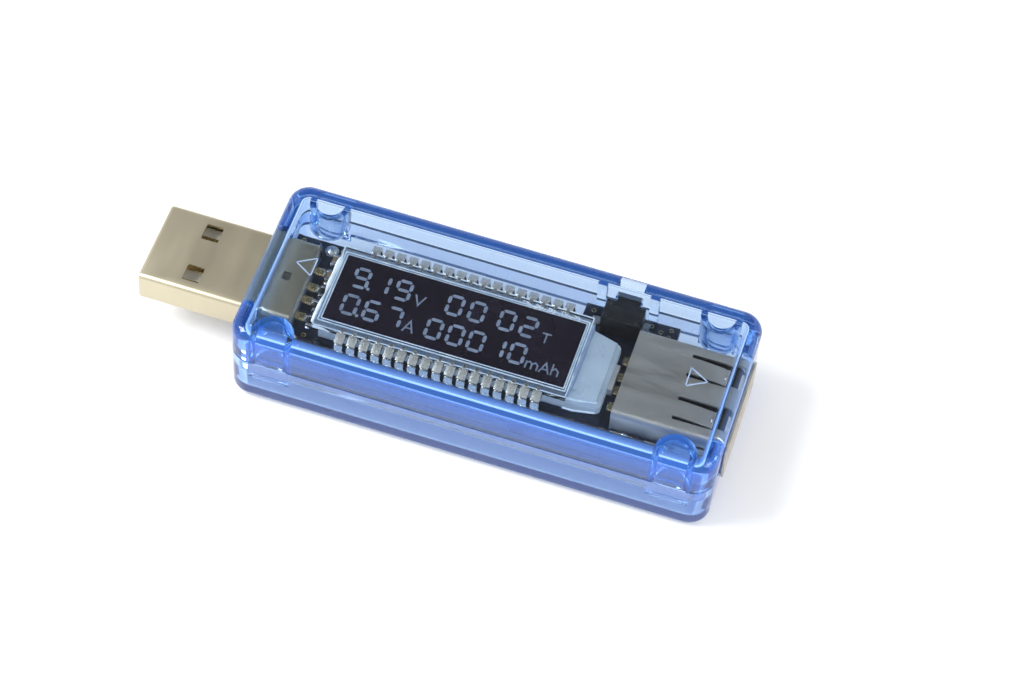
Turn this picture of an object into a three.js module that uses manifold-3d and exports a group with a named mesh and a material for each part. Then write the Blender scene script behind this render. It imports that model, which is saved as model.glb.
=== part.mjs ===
// USB power meter: a translucent two-shell case round a circuit board with a USB-A plug at one
// end, a USB-A socket at the other, a segment display between them and a reset button at the side.
//
// Millimetres, +Z up. X runs along the case, plug at -X and socket at +X. The near long side is -Y
// and the reset button is in the far long side, +Y. The origin is the centre of the underside.
import * as THREE from 'three'
import { mergeVertices } from 'three/addons/utils/BufferGeometryUtils.js'
import Module from 'manifold-3d'

const wasm = await Module()
wasm.setup()

// ---- Driving dimensions ------------------------------------------------------------------------

// Case
const caseLength = 61.2
const caseWidth = 25
const caseHeight = 12.5
const cornerRadius = 2.7
const edgeRadius = 1.3
const wall = 1.6
const floorThickness = 1.3
const roofThickness = 1.1
const seamZ = 7.35
const lipDepth = 2.2
const lipThickness = 0.7
const fitGap = 0.1
const openingGap = 0.3
const insideHeight = 0.3 // how far the posts and ribs stand clear of the board
const overlap = 0.1 // how deep one solid runs into the next where they are joined
const beyond = 1 // how far a cut runs on past the face it opens

// Circuit board
const boardTop = 6.6
const boardThickness = 1.2
const boardHalfWidth = 8.1
const boardStart = -28.6
const boardEnd = 24
const lobeStart = 8.4
const lobeEnd = 20.4
const lobeEdge = 10.4

// USB-A plug: the standard 12.0 x 4.5 shell
const plugWidth = 12
const plugHeight = 4.5
const plugZ = 6.6
const plugReach = 14 // from the case's end to the tip
const plugRear = -24.9
const sheet = 0.3 // shell metal
const mouldGap = 0.12 // between an insulator and the shell round it

// USB-A socket: a shell that takes the standard plug
const socketWidth = 13.2
const socketHeight = 5.8
const socketZ = 7
const socketRear = 16.2
const flangeLip = 0.45
const rimReach = 1 // how much wider and higher the flared rim is
const contactRows = [-3.5, -1, 1, 3.5] // standard contact places across the plug

// Display stack, from its left end
const displayStart = -21.8
const displayEnd = 10.4
const displayWidth = 12.4
const rearGlassWidth = 10.4
const glass = 0.75
const polarizer = 0.2
const displayTop = 9.8
const guideEnd = 14.5
const guideHalfWidth = 5.5
const reflectorThickness = 0.15

// Display pins
const pinCount = 17
const pinPitch = 1.56
const firstPin = -17.95
const pinWidth = 1.05
const pinThickness = 0.22
const pinLegY = 7.75

// Reset switch
const switchX = 13.5
const switchWidth = 5
const switchFront = 6.7
const switchBack = 9.7
const switchHeight = 3
const buttonWidth = 2.9
const buttonHeight = 1.4
const buttonZ = 8.1
const buttonEnd = 11.6

// Worked out from the above
const halfLength = caseLength / 2
const halfWidth = caseWidth / 2
const boardBottom = boardTop - boardThickness
const plugTip = -halfLength - plugReach
const plugTop = plugZ + plugHeight / 2
const plugBottom = plugZ - plugHeight / 2
const socketTop = socketZ + socketHeight / 2
const socketBottom = socketZ - socketHeight / 2
const socketMouth = halfLength + flangeLip
const roofZ = caseHeight - roofThickness

// ---- Finishes ----------------------------------------------------------------------------------

function finish(color, roughness, metalness, options = {}) {
  return new THREE.MeshStandardMaterial({ color, roughness, metalness, ...options })
}

const bluePlastic = finish(0x6f9ce6, 0.12, 0, { transparent: true, opacity: 0.4 })
const boardResin = finish(0x14182c, 0.4, 0)
const nickelSteel = finish(0xb4aa90, 0.32, 1)
const tinSteel = finish(0x8f9296, 0.38, 1)
const gold = finish(0xc9a24a, 0.3, 1)
const blackPlastic = finish(0x17181a, 0.45, 0)
const whitePlastic = finish(0xe6e6e2, 0.5, 0)
const clearGlass = finish(0xcfe0f2, 0.05, 0, { transparent: true, opacity: 0.35 })
const displayFilm = finish(0x241f33, 0.25, 0)
const guideAcrylic = finish(0xc9dbe8, 0.3, 0, { transparent: true, opacity: 0.7 })
const reflectorFilm = finish(0xe9eef2, 0.4, 0)
const tinnedPin = finish(0xb8b7ac, 0.35, 1)
const ceramicTan = finish(0xa58a66, 0.5, 0)

// ---- Solids ------------------------------------------------------------------------------------

function solidOf(geometry) {
  geometry.deleteAttribute('normal')
  geometry.deleteAttribute('uv')
  const merged = mergeVertices(geometry, 1e-5)
  const vertProperties = new Float32Array(merged.attributes.position.array)
  const triVerts = new Uint32Array(merged.index.array)
  return new wasm.Manifold(new wasm.Mesh({ numProp: 3, vertProperties, triVerts }))
}

function geometryOf(solid) {
  const mesh = solid.getMesh()
  const geometry = new THREE.BufferGeometry()
  geometry.setAttribute('position', new THREE.BufferAttribute(mesh.vertProperties, 3))
  geometry.setIndex(new THREE.BufferAttribute(mesh.triVerts, 1))
  geometry.computeVertexNormals()
  return geometry
}

// A box between two corners.
function block(x0, x1, y0, y1, z0, z1) {
  const geometry = new THREE.BoxGeometry(x1 - x0, y1 - y0, z1 - z0)
  geometry.translate((x0 + x1) / 2, (y0 + y1) / 2, (z0 + z1) / 2)
  return solidOf(geometry)
}

function extrude(shape, depth, curveSegments) {
  return new THREE.ExtrudeGeometry(shape, { depth, bevelEnabled: false, curveSegments })
}

// A shape drawn in X and Y, raised from z0 to z1.
function raised(shape, z0, z1, curveSegments = 6) {
  return solidOf(extrude(shape, z1 - z0, curveSegments).translate(0, 0, z0))
}

// A shape drawn in Y and Z, drawn out along X from x0 to x1.
function alongX(shape, x0, x1, curveSegments = 3) {
  const geometry = extrude(shape, x1 - x0, curveSegments)
  const turn = new THREE.Matrix4().makeBasis(
    new THREE.Vector3(0, 1, 0),
    new THREE.Vector3(0, 0, 1),
    new THREE.Vector3(1, 0, 0)
  )
  return solidOf(geometry.applyMatrix4(turn).translate(x0, 0, 0))
}

// A shape drawn in X and Z, drawn out along Y from y0 to y1.
function alongY(shape, y0, y1, curveSegments = 3) {
  const geometry = extrude(shape, y1 - y0, curveSegments)
  const turn = new THREE.Matrix4().makeBasis(
    new THREE.Vector3(1, 0, 0),
    new THREE.Vector3(0, 0, 1),
    new THREE.Vector3(0, -1, 0)
  )
  return solidOf(geometry.applyMatrix4(turn).translate(0, y1, 0))
}

function polygon(points) {
  return new THREE.Shape(points.map(([x, y]) => new THREE.Vector2(x, y)))
}

// A rectangle with round corners, about (cx, cy).
function roundedRectangle(width, height, radius, cx = 0, cy = 0) {
  const x = cx - width / 2
  const y = cy - height / 2
  const shape = new THREE.Shape()
  shape.moveTo(x + radius, y)
  shape.lineTo(x + width - radius, y)
  shape.absarc(x + width - radius, y + radius, radius, -Math.PI / 2, 0)
  shape.lineTo(x + width, y + height - radius)
  shape.absarc(x + width - radius, y + height - radius, radius, 0, Math.PI / 2)
  shape.lineTo(x + radius, y + height)
  shape.absarc(x + radius, y + height - radius, radius, Math.PI / 2, Math.PI)
  shape.lineTo(x, y + radius)
  shape.absarc(x + radius, y + radius, radius, Math.PI, Math.PI * 1.5)
  return shape
}

// The outline of a bent strip of even thickness whose middle follows the points.
function bentStrip(points, thickness) {
  const line = points.map(([x, y]) => new THREE.Vector2(x, y))
  const normals = line.slice(1).map((point, i) => {
    const run = point.clone().sub(line[i]).normalize()
    return new THREE.Vector2(-run.y, run.x)
  })
  const offset = sign => line.map((point, i) => {
    const before = normals[Math.max(i - 1, 0)]
    const after = normals[Math.min(i, normals.length - 1)]
    const mitre = before.clone().add(after).normalize()
    const reach = (sign * thickness) / 2 / mitre.dot(before)
    return point.clone().addScaledVector(mitre, reach)
  })
  return new THREE.Shape([...offset(1), ...offset(-1).reverse()])
}

const meter = new THREE.Group()

function add(name, solid, material) {
  const mesh = new THREE.Mesh(geometryOf(solid), material)
  mesh.name = name
  meter.add(mesh)
}

// ---- Case --------------------------------------------------------------------------------------

// The whole outer block, with its upright corners and its long edges rounded.
function outerBlock() {
  const shape = roundedRectangle(
    caseLength - 2 * edgeRadius,
    caseWidth - 2 * edgeRadius,
    cornerRadius - edgeRadius
  )
  const geometry = new THREE.ExtrudeGeometry(shape, {
    depth: caseHeight - 2 * edgeRadius,
    bevelEnabled: true,
    bevelSize: edgeRadius,
    bevelThickness: edgeRadius,
    bevelSegments: 3,
    curveSegments: 5
  })
  return solidOf(geometry.translate(0, 0, edgeRadius))
}

const half = { far: 1, near: -1 } // the two long sides

// A plain upright block that stands a given distance inside the case's outside.
function insetBlock(inset, z0, z1) {
  const radius = Math.max(cornerRadius - inset, 0.4)
  const shape = roundedRectangle(caseLength - 2 * inset, caseWidth - 2 * inset, radius)
  return raised(shape, z0, z1, 4)
}

function ringBlock(outerInset, innerInset, z0, z1) {
  return insetBlock(outerInset, z0, z1).subtract(insetBlock(innerInset, z0 - beyond, z1 + beyond))
}

const latchX = 25.3
const latchWidth = 5.2
const latchDepth = 3.3
const barbReach = 0.35
const barbHeight = 0.7
const barbInset = 1 // how much narrower the barb is than its tongue
const latchPlaces = [-latchX, latchX].flatMap(x => [half.far, half.near].map(side => [x, side]))

function sideBlock(side, x, width, y0, y1, z0, z1) {
  const low = Math.min(side * y0, side * y1)
  const high = Math.max(side * y0, side * y1)
  return block(x - width / 2, x + width / 2, low, high, z0, z1)
}

// The openings in the two ends, which both shells share, and the hole for the button.
function openings() {
  const reach = 3
  const plugHole = block(
    -halfLength - beyond,
    -halfLength + reach,
    -plugWidth / 2 - openingGap,
    plugWidth / 2 + openingGap,
    plugBottom - openingGap,
    plugTop + openingGap
  )
  const socketHole = block(
    halfLength - reach,
    halfLength + beyond,
    -socketWidth / 2 - openingGap,
    socketWidth / 2 + openingGap,
    socketBottom - openingGap,
    socketTop + openingGap
  )
  const buttonHole = sideBlock(
    half.far,
    switchX,
    buttonWidth + 2 * openingGap,
    halfWidth - wall - beyond,
    halfWidth + beyond,
    buttonZ - buttonHeight / 2 - openingGap,
    buttonZ + buttonHeight / 2 + openingGap
  )
  return plugHole.add(socketHole).add(buttonHole)
}

const ribWidth = 1.2
const ribReach = 0.8
const ribX = buttonWidth / 2 + 1.9 // from the button's middle to a rib's
const postFoot = boardTop + insideHeight

// A rib on the far wall, either side of the reset button.
function buttonRib(side) {
  const inner = halfWidth - wall
  const x = switchX + side * ribX
  return sideBlock(half.far, x, ribWidth, inner - ribReach, inner + overlap, postFoot, roofZ + overlap)
}

// A U-shaped guide post that hangs from the roof against a long wall.
function guidePost(x, side) {
  const radius = 2.6
  const inside = radius - 0.8
  const straight = -0.4 // where the arms turn into the arc, from the wall
  const shape = new THREE.Shape()
  shape.moveTo(-radius, overlap)
  shape.lineTo(-radius, straight)
  shape.absarc(0, straight, radius, Math.PI, 2 * Math.PI)
  shape.lineTo(radius, overlap)
  shape.lineTo(inside, overlap)
  shape.lineTo(inside, straight)
  shape.absarc(0, straight, inside, 2 * Math.PI, Math.PI, true)
  shape.lineTo(-inside, overlap)
  const post = raised(shape, postFoot, roofZ + overlap, 8)
  const turned = side === half.far ? post : post.rotate([0, 0, 180])
  return turned.translate([x, side * (halfWidth - wall), 0])
}

function upperCase() {
  const lipFoot = seamZ - lipDepth
  let shell = outerBlock()
    .intersect(block(-halfLength, halfLength, -halfWidth, halfWidth, seamZ, caseHeight))
    .subtract(insetBlock(wall, seamZ - beyond, roofZ))
    .add(ringBlock(wall - lipThickness, wall, lipFoot, seamZ + 0.5))
  const inner = halfWidth - wall
  const tongueFace = inner + lipThickness
  const latchFoot = seamZ - latchDepth
  for (const [x, side] of latchPlaces) {
    shell = shell
      .add(sideBlock(side, x, latchWidth, inner, tongueFace, latchFoot, seamZ))
      .add(sideBlock(
        side,
        x,
        latchWidth - barbInset,
        inner,
        tongueFace + barbReach,
        latchFoot,
        latchFoot + barbHeight
      ))
      .add(guidePost(x, side))
  }
  shell = shell.add(buttonRib(-1)).add(buttonRib(1))
  return shell.subtract(openings())
}

const boardPostX = [-18, 5]
const boardPostY = 5.4
const boardPostRadius = 1.1

// A tapered post that holds the board up off the lower shell's floor.
function boardPost(x, y) {
  const base = floorThickness - overlap
  const post = new THREE.CylinderGeometry(boardPostRadius, boardPostRadius + 0.2, boardBottom - base, 12)
  post.rotateX(Math.PI / 2)
  post.translate(x, y, (boardBottom + base) / 2)
  return solidOf(post)
}

function lowerCase() {
  const lipInset = wall - lipThickness - fitGap
  let shell = outerBlock()
    .intersect(block(-halfLength, halfLength, -halfWidth, halfWidth, 0, seamZ))
    .subtract(insetBlock(wall, floorThickness, seamZ + beyond))
    .subtract(insetBlock(lipInset, seamZ - lipDepth - fitGap, seamZ + beyond))
  const slotStart = halfWidth - wall - 0.5
  const slotFace = halfWidth - lipInset
  const foot = seamZ - latchDepth - fitGap
  const catchTop = foot + barbHeight + 2 * fitGap
  for (const [x, side] of latchPlaces) {
    const slotWidth = latchWidth + 2 * fitGap
    shell = shell
      .subtract(sideBlock(side, x, slotWidth, slotStart, slotFace, foot, seamZ + beyond))
      .subtract(sideBlock(side, x, slotWidth - barbInset, slotStart, slotFace + barbReach, foot, catchTop))
  }
  for (const x of boardPostX) {
    for (const side of [half.far, half.near]) {
      shell = shell.add(boardPost(x, side * boardPostY))
    }
  }
  return shell.subtract(openings())
}

// ---- Circuit board -----------------------------------------------------------------------------

// The board is notched at both ends, so that the plug and the socket sit half sunk in it.
function circuitBoard() {
  const plugNotch = plugWidth / 2 + openingGap
  const socketNotch = socketWidth / 2 + openingGap
  const plugStop = plugRear + openingGap
  const socketStop = socketRear - openingGap
  return raised(polygon([
    [boardStart, -boardHalfWidth],
    [boardEnd, -boardHalfWidth],
    [boardEnd, -socketNotch],
    [socketStop, -socketNotch],
    [socketStop, socketNotch],
    [boardEnd, socketNotch],
    [boardEnd, boardHalfWidth],
    [lobeEnd, boardHalfWidth],
    [lobeEnd, lobeEdge],
    [lobeStart, lobeEdge],
    [lobeStart, boardHalfWidth],
    [boardStart, boardHalfWidth],
    [boardStart, plugNotch],
    [plugStop, plugNotch],
    [plugStop, -plugNotch],
    [boardStart, -plugNotch]
  ]), boardBottom, boardTop)
}

// ---- Plug --------------------------------------------------------------------------------------

const shellBend = 0.6 // outer bend of both sheet metal shells
const innerBend = 0.35
const plugInnerTop = plugTop - sheet
const plugInnerBottom = plugBottom + sheet
const plugTongueTop = plugInnerBottom + 1.95
const windowStart = plugTip + 5.2
const windowSize = 2.2
const windowY = 3.3
const lockHole = { back: 1.9, length: 1, width: 1.2 } // behind it, along X and across
const plugBlockLength = 4.5
const contactWidth = 1
const contactThickness = 0.25
const contactSlot = contactWidth + 0.2

function plugShell() {
  const outside = roundedRectangle(plugWidth, plugHeight, shellBend, 0, plugZ)
  const inside = roundedRectangle(plugWidth - 2 * sheet, plugHeight - 2 * sheet, innerBend, 0, plugZ)
  let shell = alongX(outside, plugTip, plugRear)
    .subtract(alongX(inside, plugTip - beyond, plugRear + beyond))
  for (const y of [-windowY, windowY]) {
    shell = shell.subtract(block(
      windowStart,
      windowStart + windowSize,
      y - windowSize / 2 - 0.1,
      y + windowSize / 2 + 0.1,
      plugBottom - beyond,
      plugTop + beyond
    ))
  }
  const lockEnd = plugRear - lockHole.back
  const lockSide = lockHole.width / 2
  return shell.subtract(
    block(lockEnd - lockHole.length, lockEnd, -lockSide, lockSide, plugZ, plugTop + beyond)
  )
}

// A tongue under the contacts, and a block at the rear with a tunnel over each of them.
function plugInsulator() {
  const side = plugWidth / 2 - sheet - mouldGap
  const blockStart = plugRear - plugBlockLength
  let solid = block(plugTip + 0.4, plugRear, -side, side, plugInnerBottom + mouldGap, plugTongueTop)
    .add(block(blockStart, plugRear, -side, side, plugTongueTop - 0.5, plugInnerTop - mouldGap))
  for (const y of contactRows) {
    solid = solid.subtract(block(
      blockStart - beyond,
      plugRear + beyond,
      y - contactSlot / 2,
      y + contactSlot / 2,
      plugTongueTop,
      plugTongueTop + contactThickness + 0.15
    ))
  }
  return solid
}

// A strip that lies on the tongue and runs straight back onto the board.
function plugContact(y, start) {
  const side = contactWidth / 2
  return block(start, plugRear + 1.3, y - side, y + side, plugTongueTop, plugTongueTop + contactThickness)
}

// ---- Socket ------------------------------------------------------------------------------------

const tongueBottom = socketZ + 0.1
const tongueTop = socketZ + 1.9
const fingerStart = 23.3
const fingerEnd = 29.2
const fingerPairs = [[1.8, 4.7], [-4.7, -1.8]] // edges of the two spring fingers in the top

const slit = 0.35
const sideFingerZ = 0.9 // from the socket's middle to the edges of its side fingers
const cutReach = 0.6 // half the depth of a cut through the sheet

function socketShell() {
  const outside = roundedRectangle(socketWidth, socketHeight, shellBend, 0, socketZ)
  const inside = roundedRectangle(socketWidth - 2 * sheet, socketHeight - 2 * sheet, innerBend, 0, socketZ)
  const rim = roundedRectangle(socketWidth + rimReach, socketHeight + rimReach, shellBend + 0.2, 0, socketZ)
  let shell = alongX(outside, socketRear, socketMouth)
    .add(alongX(rim, halfLength + fitGap, socketMouth))
    .subtract(alongX(inside, socketRear - beyond, socketMouth + beyond))
  for (const [low, high] of fingerPairs) {
    for (const z of [socketTop, socketBottom]) {
      const cut = (x0, x1, y0, y1) => block(x0, x1, y0, y1, z - cutReach, z + cutReach)
      shell = shell
        .subtract(cut(fingerStart, fingerEnd, low - slit / 2, low + slit / 2))
        .subtract(cut(fingerStart, fingerEnd, high - slit / 2, high + slit / 2))
        .subtract(cut(fingerEnd - slit, fingerEnd, low, high))
    }
  }
  const length = fingerEnd - fingerStart
  const middle = (fingerStart + fingerEnd) / 2
  const wallY = [socketWidth / 2 - cutReach, socketWidth / 2 + cutReach]
  for (const z of [socketZ - sideFingerZ, socketZ + sideFingerZ]) {
    for (const side of [half.far, half.near]) {
      shell = shell.subtract(sideBlock(side, middle, length, ...wallY, z - slit / 2, z + slit / 2))
    }
  }
  return shell
}

// The contact's course: under the tongue with a raised contact point, then back onto the board.
function socketContactLine(thickness) {
  const z = tongueBottom - thickness / 2 - 0.02
  const pointX = 27.4
  const pointHalf = 1.2
  const tail = boardTop + thickness / 2
  return bentStrip([
    [pointX + pointHalf, z],
    [pointX, z - 0.35],
    [pointX - pointHalf, z],
    [socketRear - 0.2, z],
    [socketRear - 0.4, tail],
    [socketRear - 1, tail]
  ], thickness)
}

const socketBlockLength = 4.2
const socketTongueSide = 5.55

function socketInsulator() {
  const side = socketWidth / 2 - sheet - mouldGap
  const low = socketBottom + sheet + mouldGap
  const high = socketTop - sheet - mouldGap
  const start = socketRear + 0.2
  const blockEnd = start + socketBlockLength
  let solid = block(start, socketMouth - 1.4, -socketTongueSide, socketTongueSide, tongueBottom, tongueTop)
    .add(block(start, blockEnd, -side, side, low, high))
  for (const y of contactRows) {
    solid = solid.subtract(block(
      start - beyond,
      blockEnd + beyond,
      y - contactSlot / 2,
      y + contactSlot / 2,
      tongueBottom - 0.5,
      tongueBottom
    ))
  }
  return solid
}

function socketContact(y) {
  return alongY(socketContactLine(contactThickness), y - contactWidth / 2, y + contactWidth / 2)
}

// ---- Display -----------------------------------------------------------------------------------

const frontGlassTop = displayTop - polarizer
const rearGlassTop = frontGlassTop - glass
const rearGlassBottom = rearGlassTop - glass
const guideTop = rearGlassBottom - polarizer
const guideBottom = boardTop + reflectorThickness

function displayPlate(startInset, endInset, width, top, thickness) {
  const halfPlate = width / 2
  const start = displayStart + startInset
  return block(start, displayEnd - endInset, -halfPlate, halfPlate, top - thickness, top)
}

// The light guide runs on past the display, where its end takes the light of the lamp.
function lightGuide() {
  return raised(polygon([
    [displayStart + 0.6, -guideHalfWidth],
    [guideEnd, -guideHalfWidth + 0.3],
    [guideEnd, guideHalfWidth - 0.9],
    [displayEnd + 0.6, guideHalfWidth],
    [displayStart + 0.6, guideHalfWidth]
  ]), guideBottom, guideTop)
}

// One pin's course in Y and Z: a clip round the front glass's edge, a shoulder and a leg.
function pinLine() {
  const edge = displayWidth / 2 + 0.13
  return [
    [edge - 0.5, rearGlassTop - 0.14],
    [edge, rearGlassTop - 0.14],
    [edge + 0.02, frontGlassTop - 0.15],
    [edge + 0.3, frontGlassTop - 0.02],
    [pinLegY, frontGlassTop - 0.4],
    [pinLegY, boardTop + 1.2],
    [pinLegY - 0.2, boardTop + 0.9],
    [pinLegY - 0.2, boardTop]
  ]
}

// A row of pins, held together by the bead of resin that seals them to the glass's ledge.
function pinRow(side) {
  const shape = bentStrip(pinLine().map(([y, z]) => [side * y, z]), pinThickness)
  const pinX = index => firstPin + index * pinPitch
  const beadStart = pinX(0) - pinWidth / 2 - 0.3
  const beadEnd = pinX(pinCount - 1) + pinWidth / 2 + 0.3
  const bead = [rearGlassWidth / 2 + 0.05, displayWidth / 2 - 0.1]
  const middle = (beadStart + beadEnd) / 2
  const z = [rearGlassTop - 0.45, rearGlassTop - 0.02]
  let row = sideBlock(side, middle, beadEnd - beadStart, ...bead, ...z)
  for (let index = 0; index < pinCount; index += 1) {
    row = row.add(alongX(shape, pinX(index) - pinWidth / 2, pinX(index) + pinWidth / 2))
  }
  return row
}

// ---- Reset switch ------------------------------------------------------------------------------

const switchTop = boardTop + switchHeight
const flangeBack = switchBack - 0.7 // inner face of the switch's back wall
const flangeReach = 0.4 // how far the button's inner flange stands out

function switchHousing() {
  const x0 = switchX - switchWidth / 2
  const x1 = switchX + switchWidth / 2
  const chamber = buttonWidth / 2 + flangeReach + 0.2
  const chamberZ = buttonHeight / 2 + flangeReach + 0.1 // half the chamber's height
  return block(x0, x1, switchFront, switchBack, boardTop, switchTop)
    .subtract(block(
      switchX - chamber,
      switchX + chamber,
      switchFront + 0.8,
      flangeBack,
      buttonZ - chamberZ,
      buttonZ + chamberZ
    ))
    .subtract(block(
      switchX - buttonWidth / 2 - openingGap / 2,
      switchX + buttonWidth / 2 + openingGap / 2,
      flangeBack - 0.1,
      switchBack + 1,
      buttonZ - buttonHeight / 2 - openingGap / 2,
      buttonZ + buttonHeight / 2 + openingGap / 2
    ))
}

function resetButton() {
  const stem = block(
    switchX - buttonWidth / 2,
    switchX + buttonWidth / 2,
    flangeBack - 0.6,
    buttonEnd,
    buttonZ - buttonHeight / 2,
    buttonZ + buttonHeight / 2
  )
  const flange = block(
    switchX - buttonWidth / 2 - flangeReach,
    switchX + buttonWidth / 2 + flangeReach,
    flangeBack - 0.65,
    flangeBack - 0.05,
    buttonZ - buttonHeight / 2 - flangeReach + 0.1,
    buttonZ + buttonHeight / 2 + flangeReach - 0.1
  )
  return stem.add(flange)
}

// The snap dome: a thin sprung disc behind the button, its axis along Y.
function snapDome() {
  const back = switchFront + 0.85
  const profile = [
    [0, 0.22],
    [0.7, 0.12],
    [1.25, 0],
    [1.25, -0.12],
    [0.7, 0],
    [0, 0.1]
  ].map(([r, y]) => new THREE.Vector2(r, y))
  const dome = new THREE.LatheGeometry(profile.reverse(), 16)
  return solidOf(dome.translate(switchX, back + 0.15, buttonZ))
}

function switchTerminal(side) {
  const x = switchX + side * (switchWidth / 2 + 0.02)
  const upright = x + side * 0.13
  const foot = boardTop + 0.13
  const line = [[upright, boardTop + 1.3], [upright, foot], [x + side * 0.9, foot]]
  const y = (switchFront + switchBack) / 2
  return alongY(bentStrip(line, 0.2), y - 0.5, y + 0.5)
}

// ---- Parts on the board ------------------------------------------------------------------------

// A chip with a row of leads down each long side, on the board's underside.
function chipUnderside(x, y, length, width, height, leads) {
  const top = boardBottom
  let chip = block(x - length / 2, x + length / 2, y - width / 2, y + width / 2, top - height, top - 0.15)
  const pitch = length / (leads + 0.2)
  for (let index = 0; index < leads; index += 1) {
    const leadX = x + (index - (leads - 1) / 2) * pitch
    for (const side of [half.far, half.near]) {
      const line = [
        [side * (width / 2 - 0.2) + y, top - height / 2],
        [side * (width / 2 + 0.4) + y, top - height / 2],
        [side * (width / 2 + 0.5) + y, top - 0.12],
        [side * (width / 2 + 1) + y, top - 0.12]
      ]
      chip = chip.add(alongX(bentStrip(line, 0.2), leadX - pitch / 4, leadX + pitch / 4))
    }
  }
  return chip
}

// A chip part that lies along Y: a body between two slightly larger end caps.
function chipPart(x, y, length, width, height, z0) {
  const cap = length / 5
  const lift = 0.04
  const y0 = y - length / 2
  const y1 = y + length / 2
  const body = block(x - width / 2, x + width / 2, y0 + cap / 2, y1 - cap / 2, z0 + lift, z0 + height)
  const end = (low, high) =>
    block(x - width / 2 - lift, x + width / 2 + lift, low, high, z0, z0 + height + lift)
  return body.add(end(y0, y0 + cap)).add(end(y1 - cap, y1))
}

// A drop of black resin that covers a bonded chip.
function resinBlob(x, y, radius, height) {
  const profile = [new THREE.Vector2(0, 0), new THREE.Vector2(radius, 0)]
  for (let step = 1; step <= 4; step += 1) {
    const angle = (step / 4) * (Math.PI / 2)
    profile.push(new THREE.Vector2(radius * Math.cos(angle), height * Math.sin(angle)))
  }
  profile[profile.length - 1].x = 0
  const dome = new THREE.LatheGeometry(profile, 16)
  return solidOf(dome.rotateX(Math.PI / 2).translate(x, y, boardTop))
}

// ---- Assembly ----------------------------------------------------------------------------------

add('upper_case', upperCase(), bluePlastic)
add('lower_case', lowerCase(), bluePlastic)
add('circuit_board', circuitBoard(), boardResin)

add('plug_shell', plugShell(), nickelSteel)
add('plug_insulator', plugInsulator(), whitePlastic)
contactRows.forEach((y, index) => {
  const isPower = Math.abs(y) > 2
  add(`plug_contact_${index + 1}`, plugContact(y, plugTip + (isPower ? 1.4 : 2.4)), gold)
})

add('socket_shell', socketShell(), tinSteel)
add('socket_insulator', socketInsulator(), blackPlastic)
contactRows.forEach((y, index) => add(`socket_contact_${index + 1}`, socketContact(y), gold))

add('front_polarizer', displayPlate(0.5, 0.5, rearGlassWidth, displayTop, polarizer), displayFilm)
add('display_front_glass', displayPlate(0, 0, displayWidth, frontGlassTop, glass), clearGlass)
add('display_rear_glass', displayPlate(0.3, 0.3, rearGlassWidth, rearGlassTop, glass), clearGlass)
add('rear_polarizer', displayPlate(0.6, 0.6, rearGlassWidth - 0.4, rearGlassBottom, polarizer), displayFilm)
add('light_guide', lightGuide(), guideAcrylic)
add('backlight_reflector', block(
  displayStart + 0.6,
  displayEnd,
  -guideHalfWidth,
  guideHalfWidth,
  guideBottom - reflectorThickness,
  guideBottom
), reflectorFilm)
add('backlight_lamp', block(guideEnd, guideEnd + 0.6, -1.9, 1.9, boardTop, guideTop - 0.2), whitePlastic)
add('near_pin_row', pinRow(half.near), tinnedPin)
add('far_pin_row', pinRow(half.far), tinnedPin)

add('switch_housing', switchHousing(), blackPlastic)
add('reset_button', resetButton(), blackPlastic)
add('snap_dome', snapDome(), nickelSteel)
add('switch_terminal_left', switchTerminal(-1), tinnedPin)
add('switch_terminal_right', switchTerminal(1), tinnedPin)

add('meter_chip', chipUnderside(-9, 0, 12.6, 7.4, 2.1, 12), blackPlastic)
add('memory_chip', chipUnderside(5, -0.4, 4.9, 3.9, 1.5, 4), blackPlastic)
add('voltage_regulator', chipUnderside(12, 3.6, 2.9, 1.6, 1.1, 3), blackPlastic)
add('shunt_resistor', chipPart(12, -3, 6.3, 3.1, 0.7, boardBottom - 0.75), blackPlastic)

const smallParts = [
  ['input_capacitor', 5.2, 1, ceramicTan],
  ['filter_capacitor', 2.9, 0.8, ceramicTan],
  ['sense_resistor_1', 0.6, 0.5, blackPlastic],
  ['sense_resistor_2', -1.7, 0.5, blackPlastic],
  ['sense_resistor_3', -4, 0.5, blackPlastic]
]
const smallPartX = -22.7
add('resin_blob', resinBlob(-20.8, -7, 0.95, 1.1), blackPlastic)
for (const [name, y, height, material] of smallParts) {
  add(name, chipPart(smallPartX, y, 1.6, 0.8, height, boardTop), material)
}

export default meter
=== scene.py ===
"""USB power meter: the looks of a translucent inline meter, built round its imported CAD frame."""

import math

import bmesh
import bpy
from mathutils import Matrix, Vector


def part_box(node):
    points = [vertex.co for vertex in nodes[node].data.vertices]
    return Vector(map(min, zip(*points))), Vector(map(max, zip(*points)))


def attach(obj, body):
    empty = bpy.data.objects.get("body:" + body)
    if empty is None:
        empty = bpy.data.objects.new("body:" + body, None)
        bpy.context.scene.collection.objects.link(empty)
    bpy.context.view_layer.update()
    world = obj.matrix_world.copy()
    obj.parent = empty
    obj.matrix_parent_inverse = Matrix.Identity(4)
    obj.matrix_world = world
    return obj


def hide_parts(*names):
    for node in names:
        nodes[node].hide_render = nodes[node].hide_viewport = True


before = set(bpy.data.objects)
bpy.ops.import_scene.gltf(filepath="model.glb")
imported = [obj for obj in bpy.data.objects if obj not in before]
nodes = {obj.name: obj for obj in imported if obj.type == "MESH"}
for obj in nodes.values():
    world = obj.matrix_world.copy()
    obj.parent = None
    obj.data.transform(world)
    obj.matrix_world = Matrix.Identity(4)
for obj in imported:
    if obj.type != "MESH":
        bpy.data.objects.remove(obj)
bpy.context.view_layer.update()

MM = 0.001
METER = "meter"
BUTTON = "button"
TURN = 2 * math.pi

# ---- What the frame says, in millimetres -----------------------------------------------------


def span(node):
    """A CAD node's lowest and highest corners, in millimetres."""
    low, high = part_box(node)
    return Vector(low) / MM, Vector(high) / MM


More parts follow.
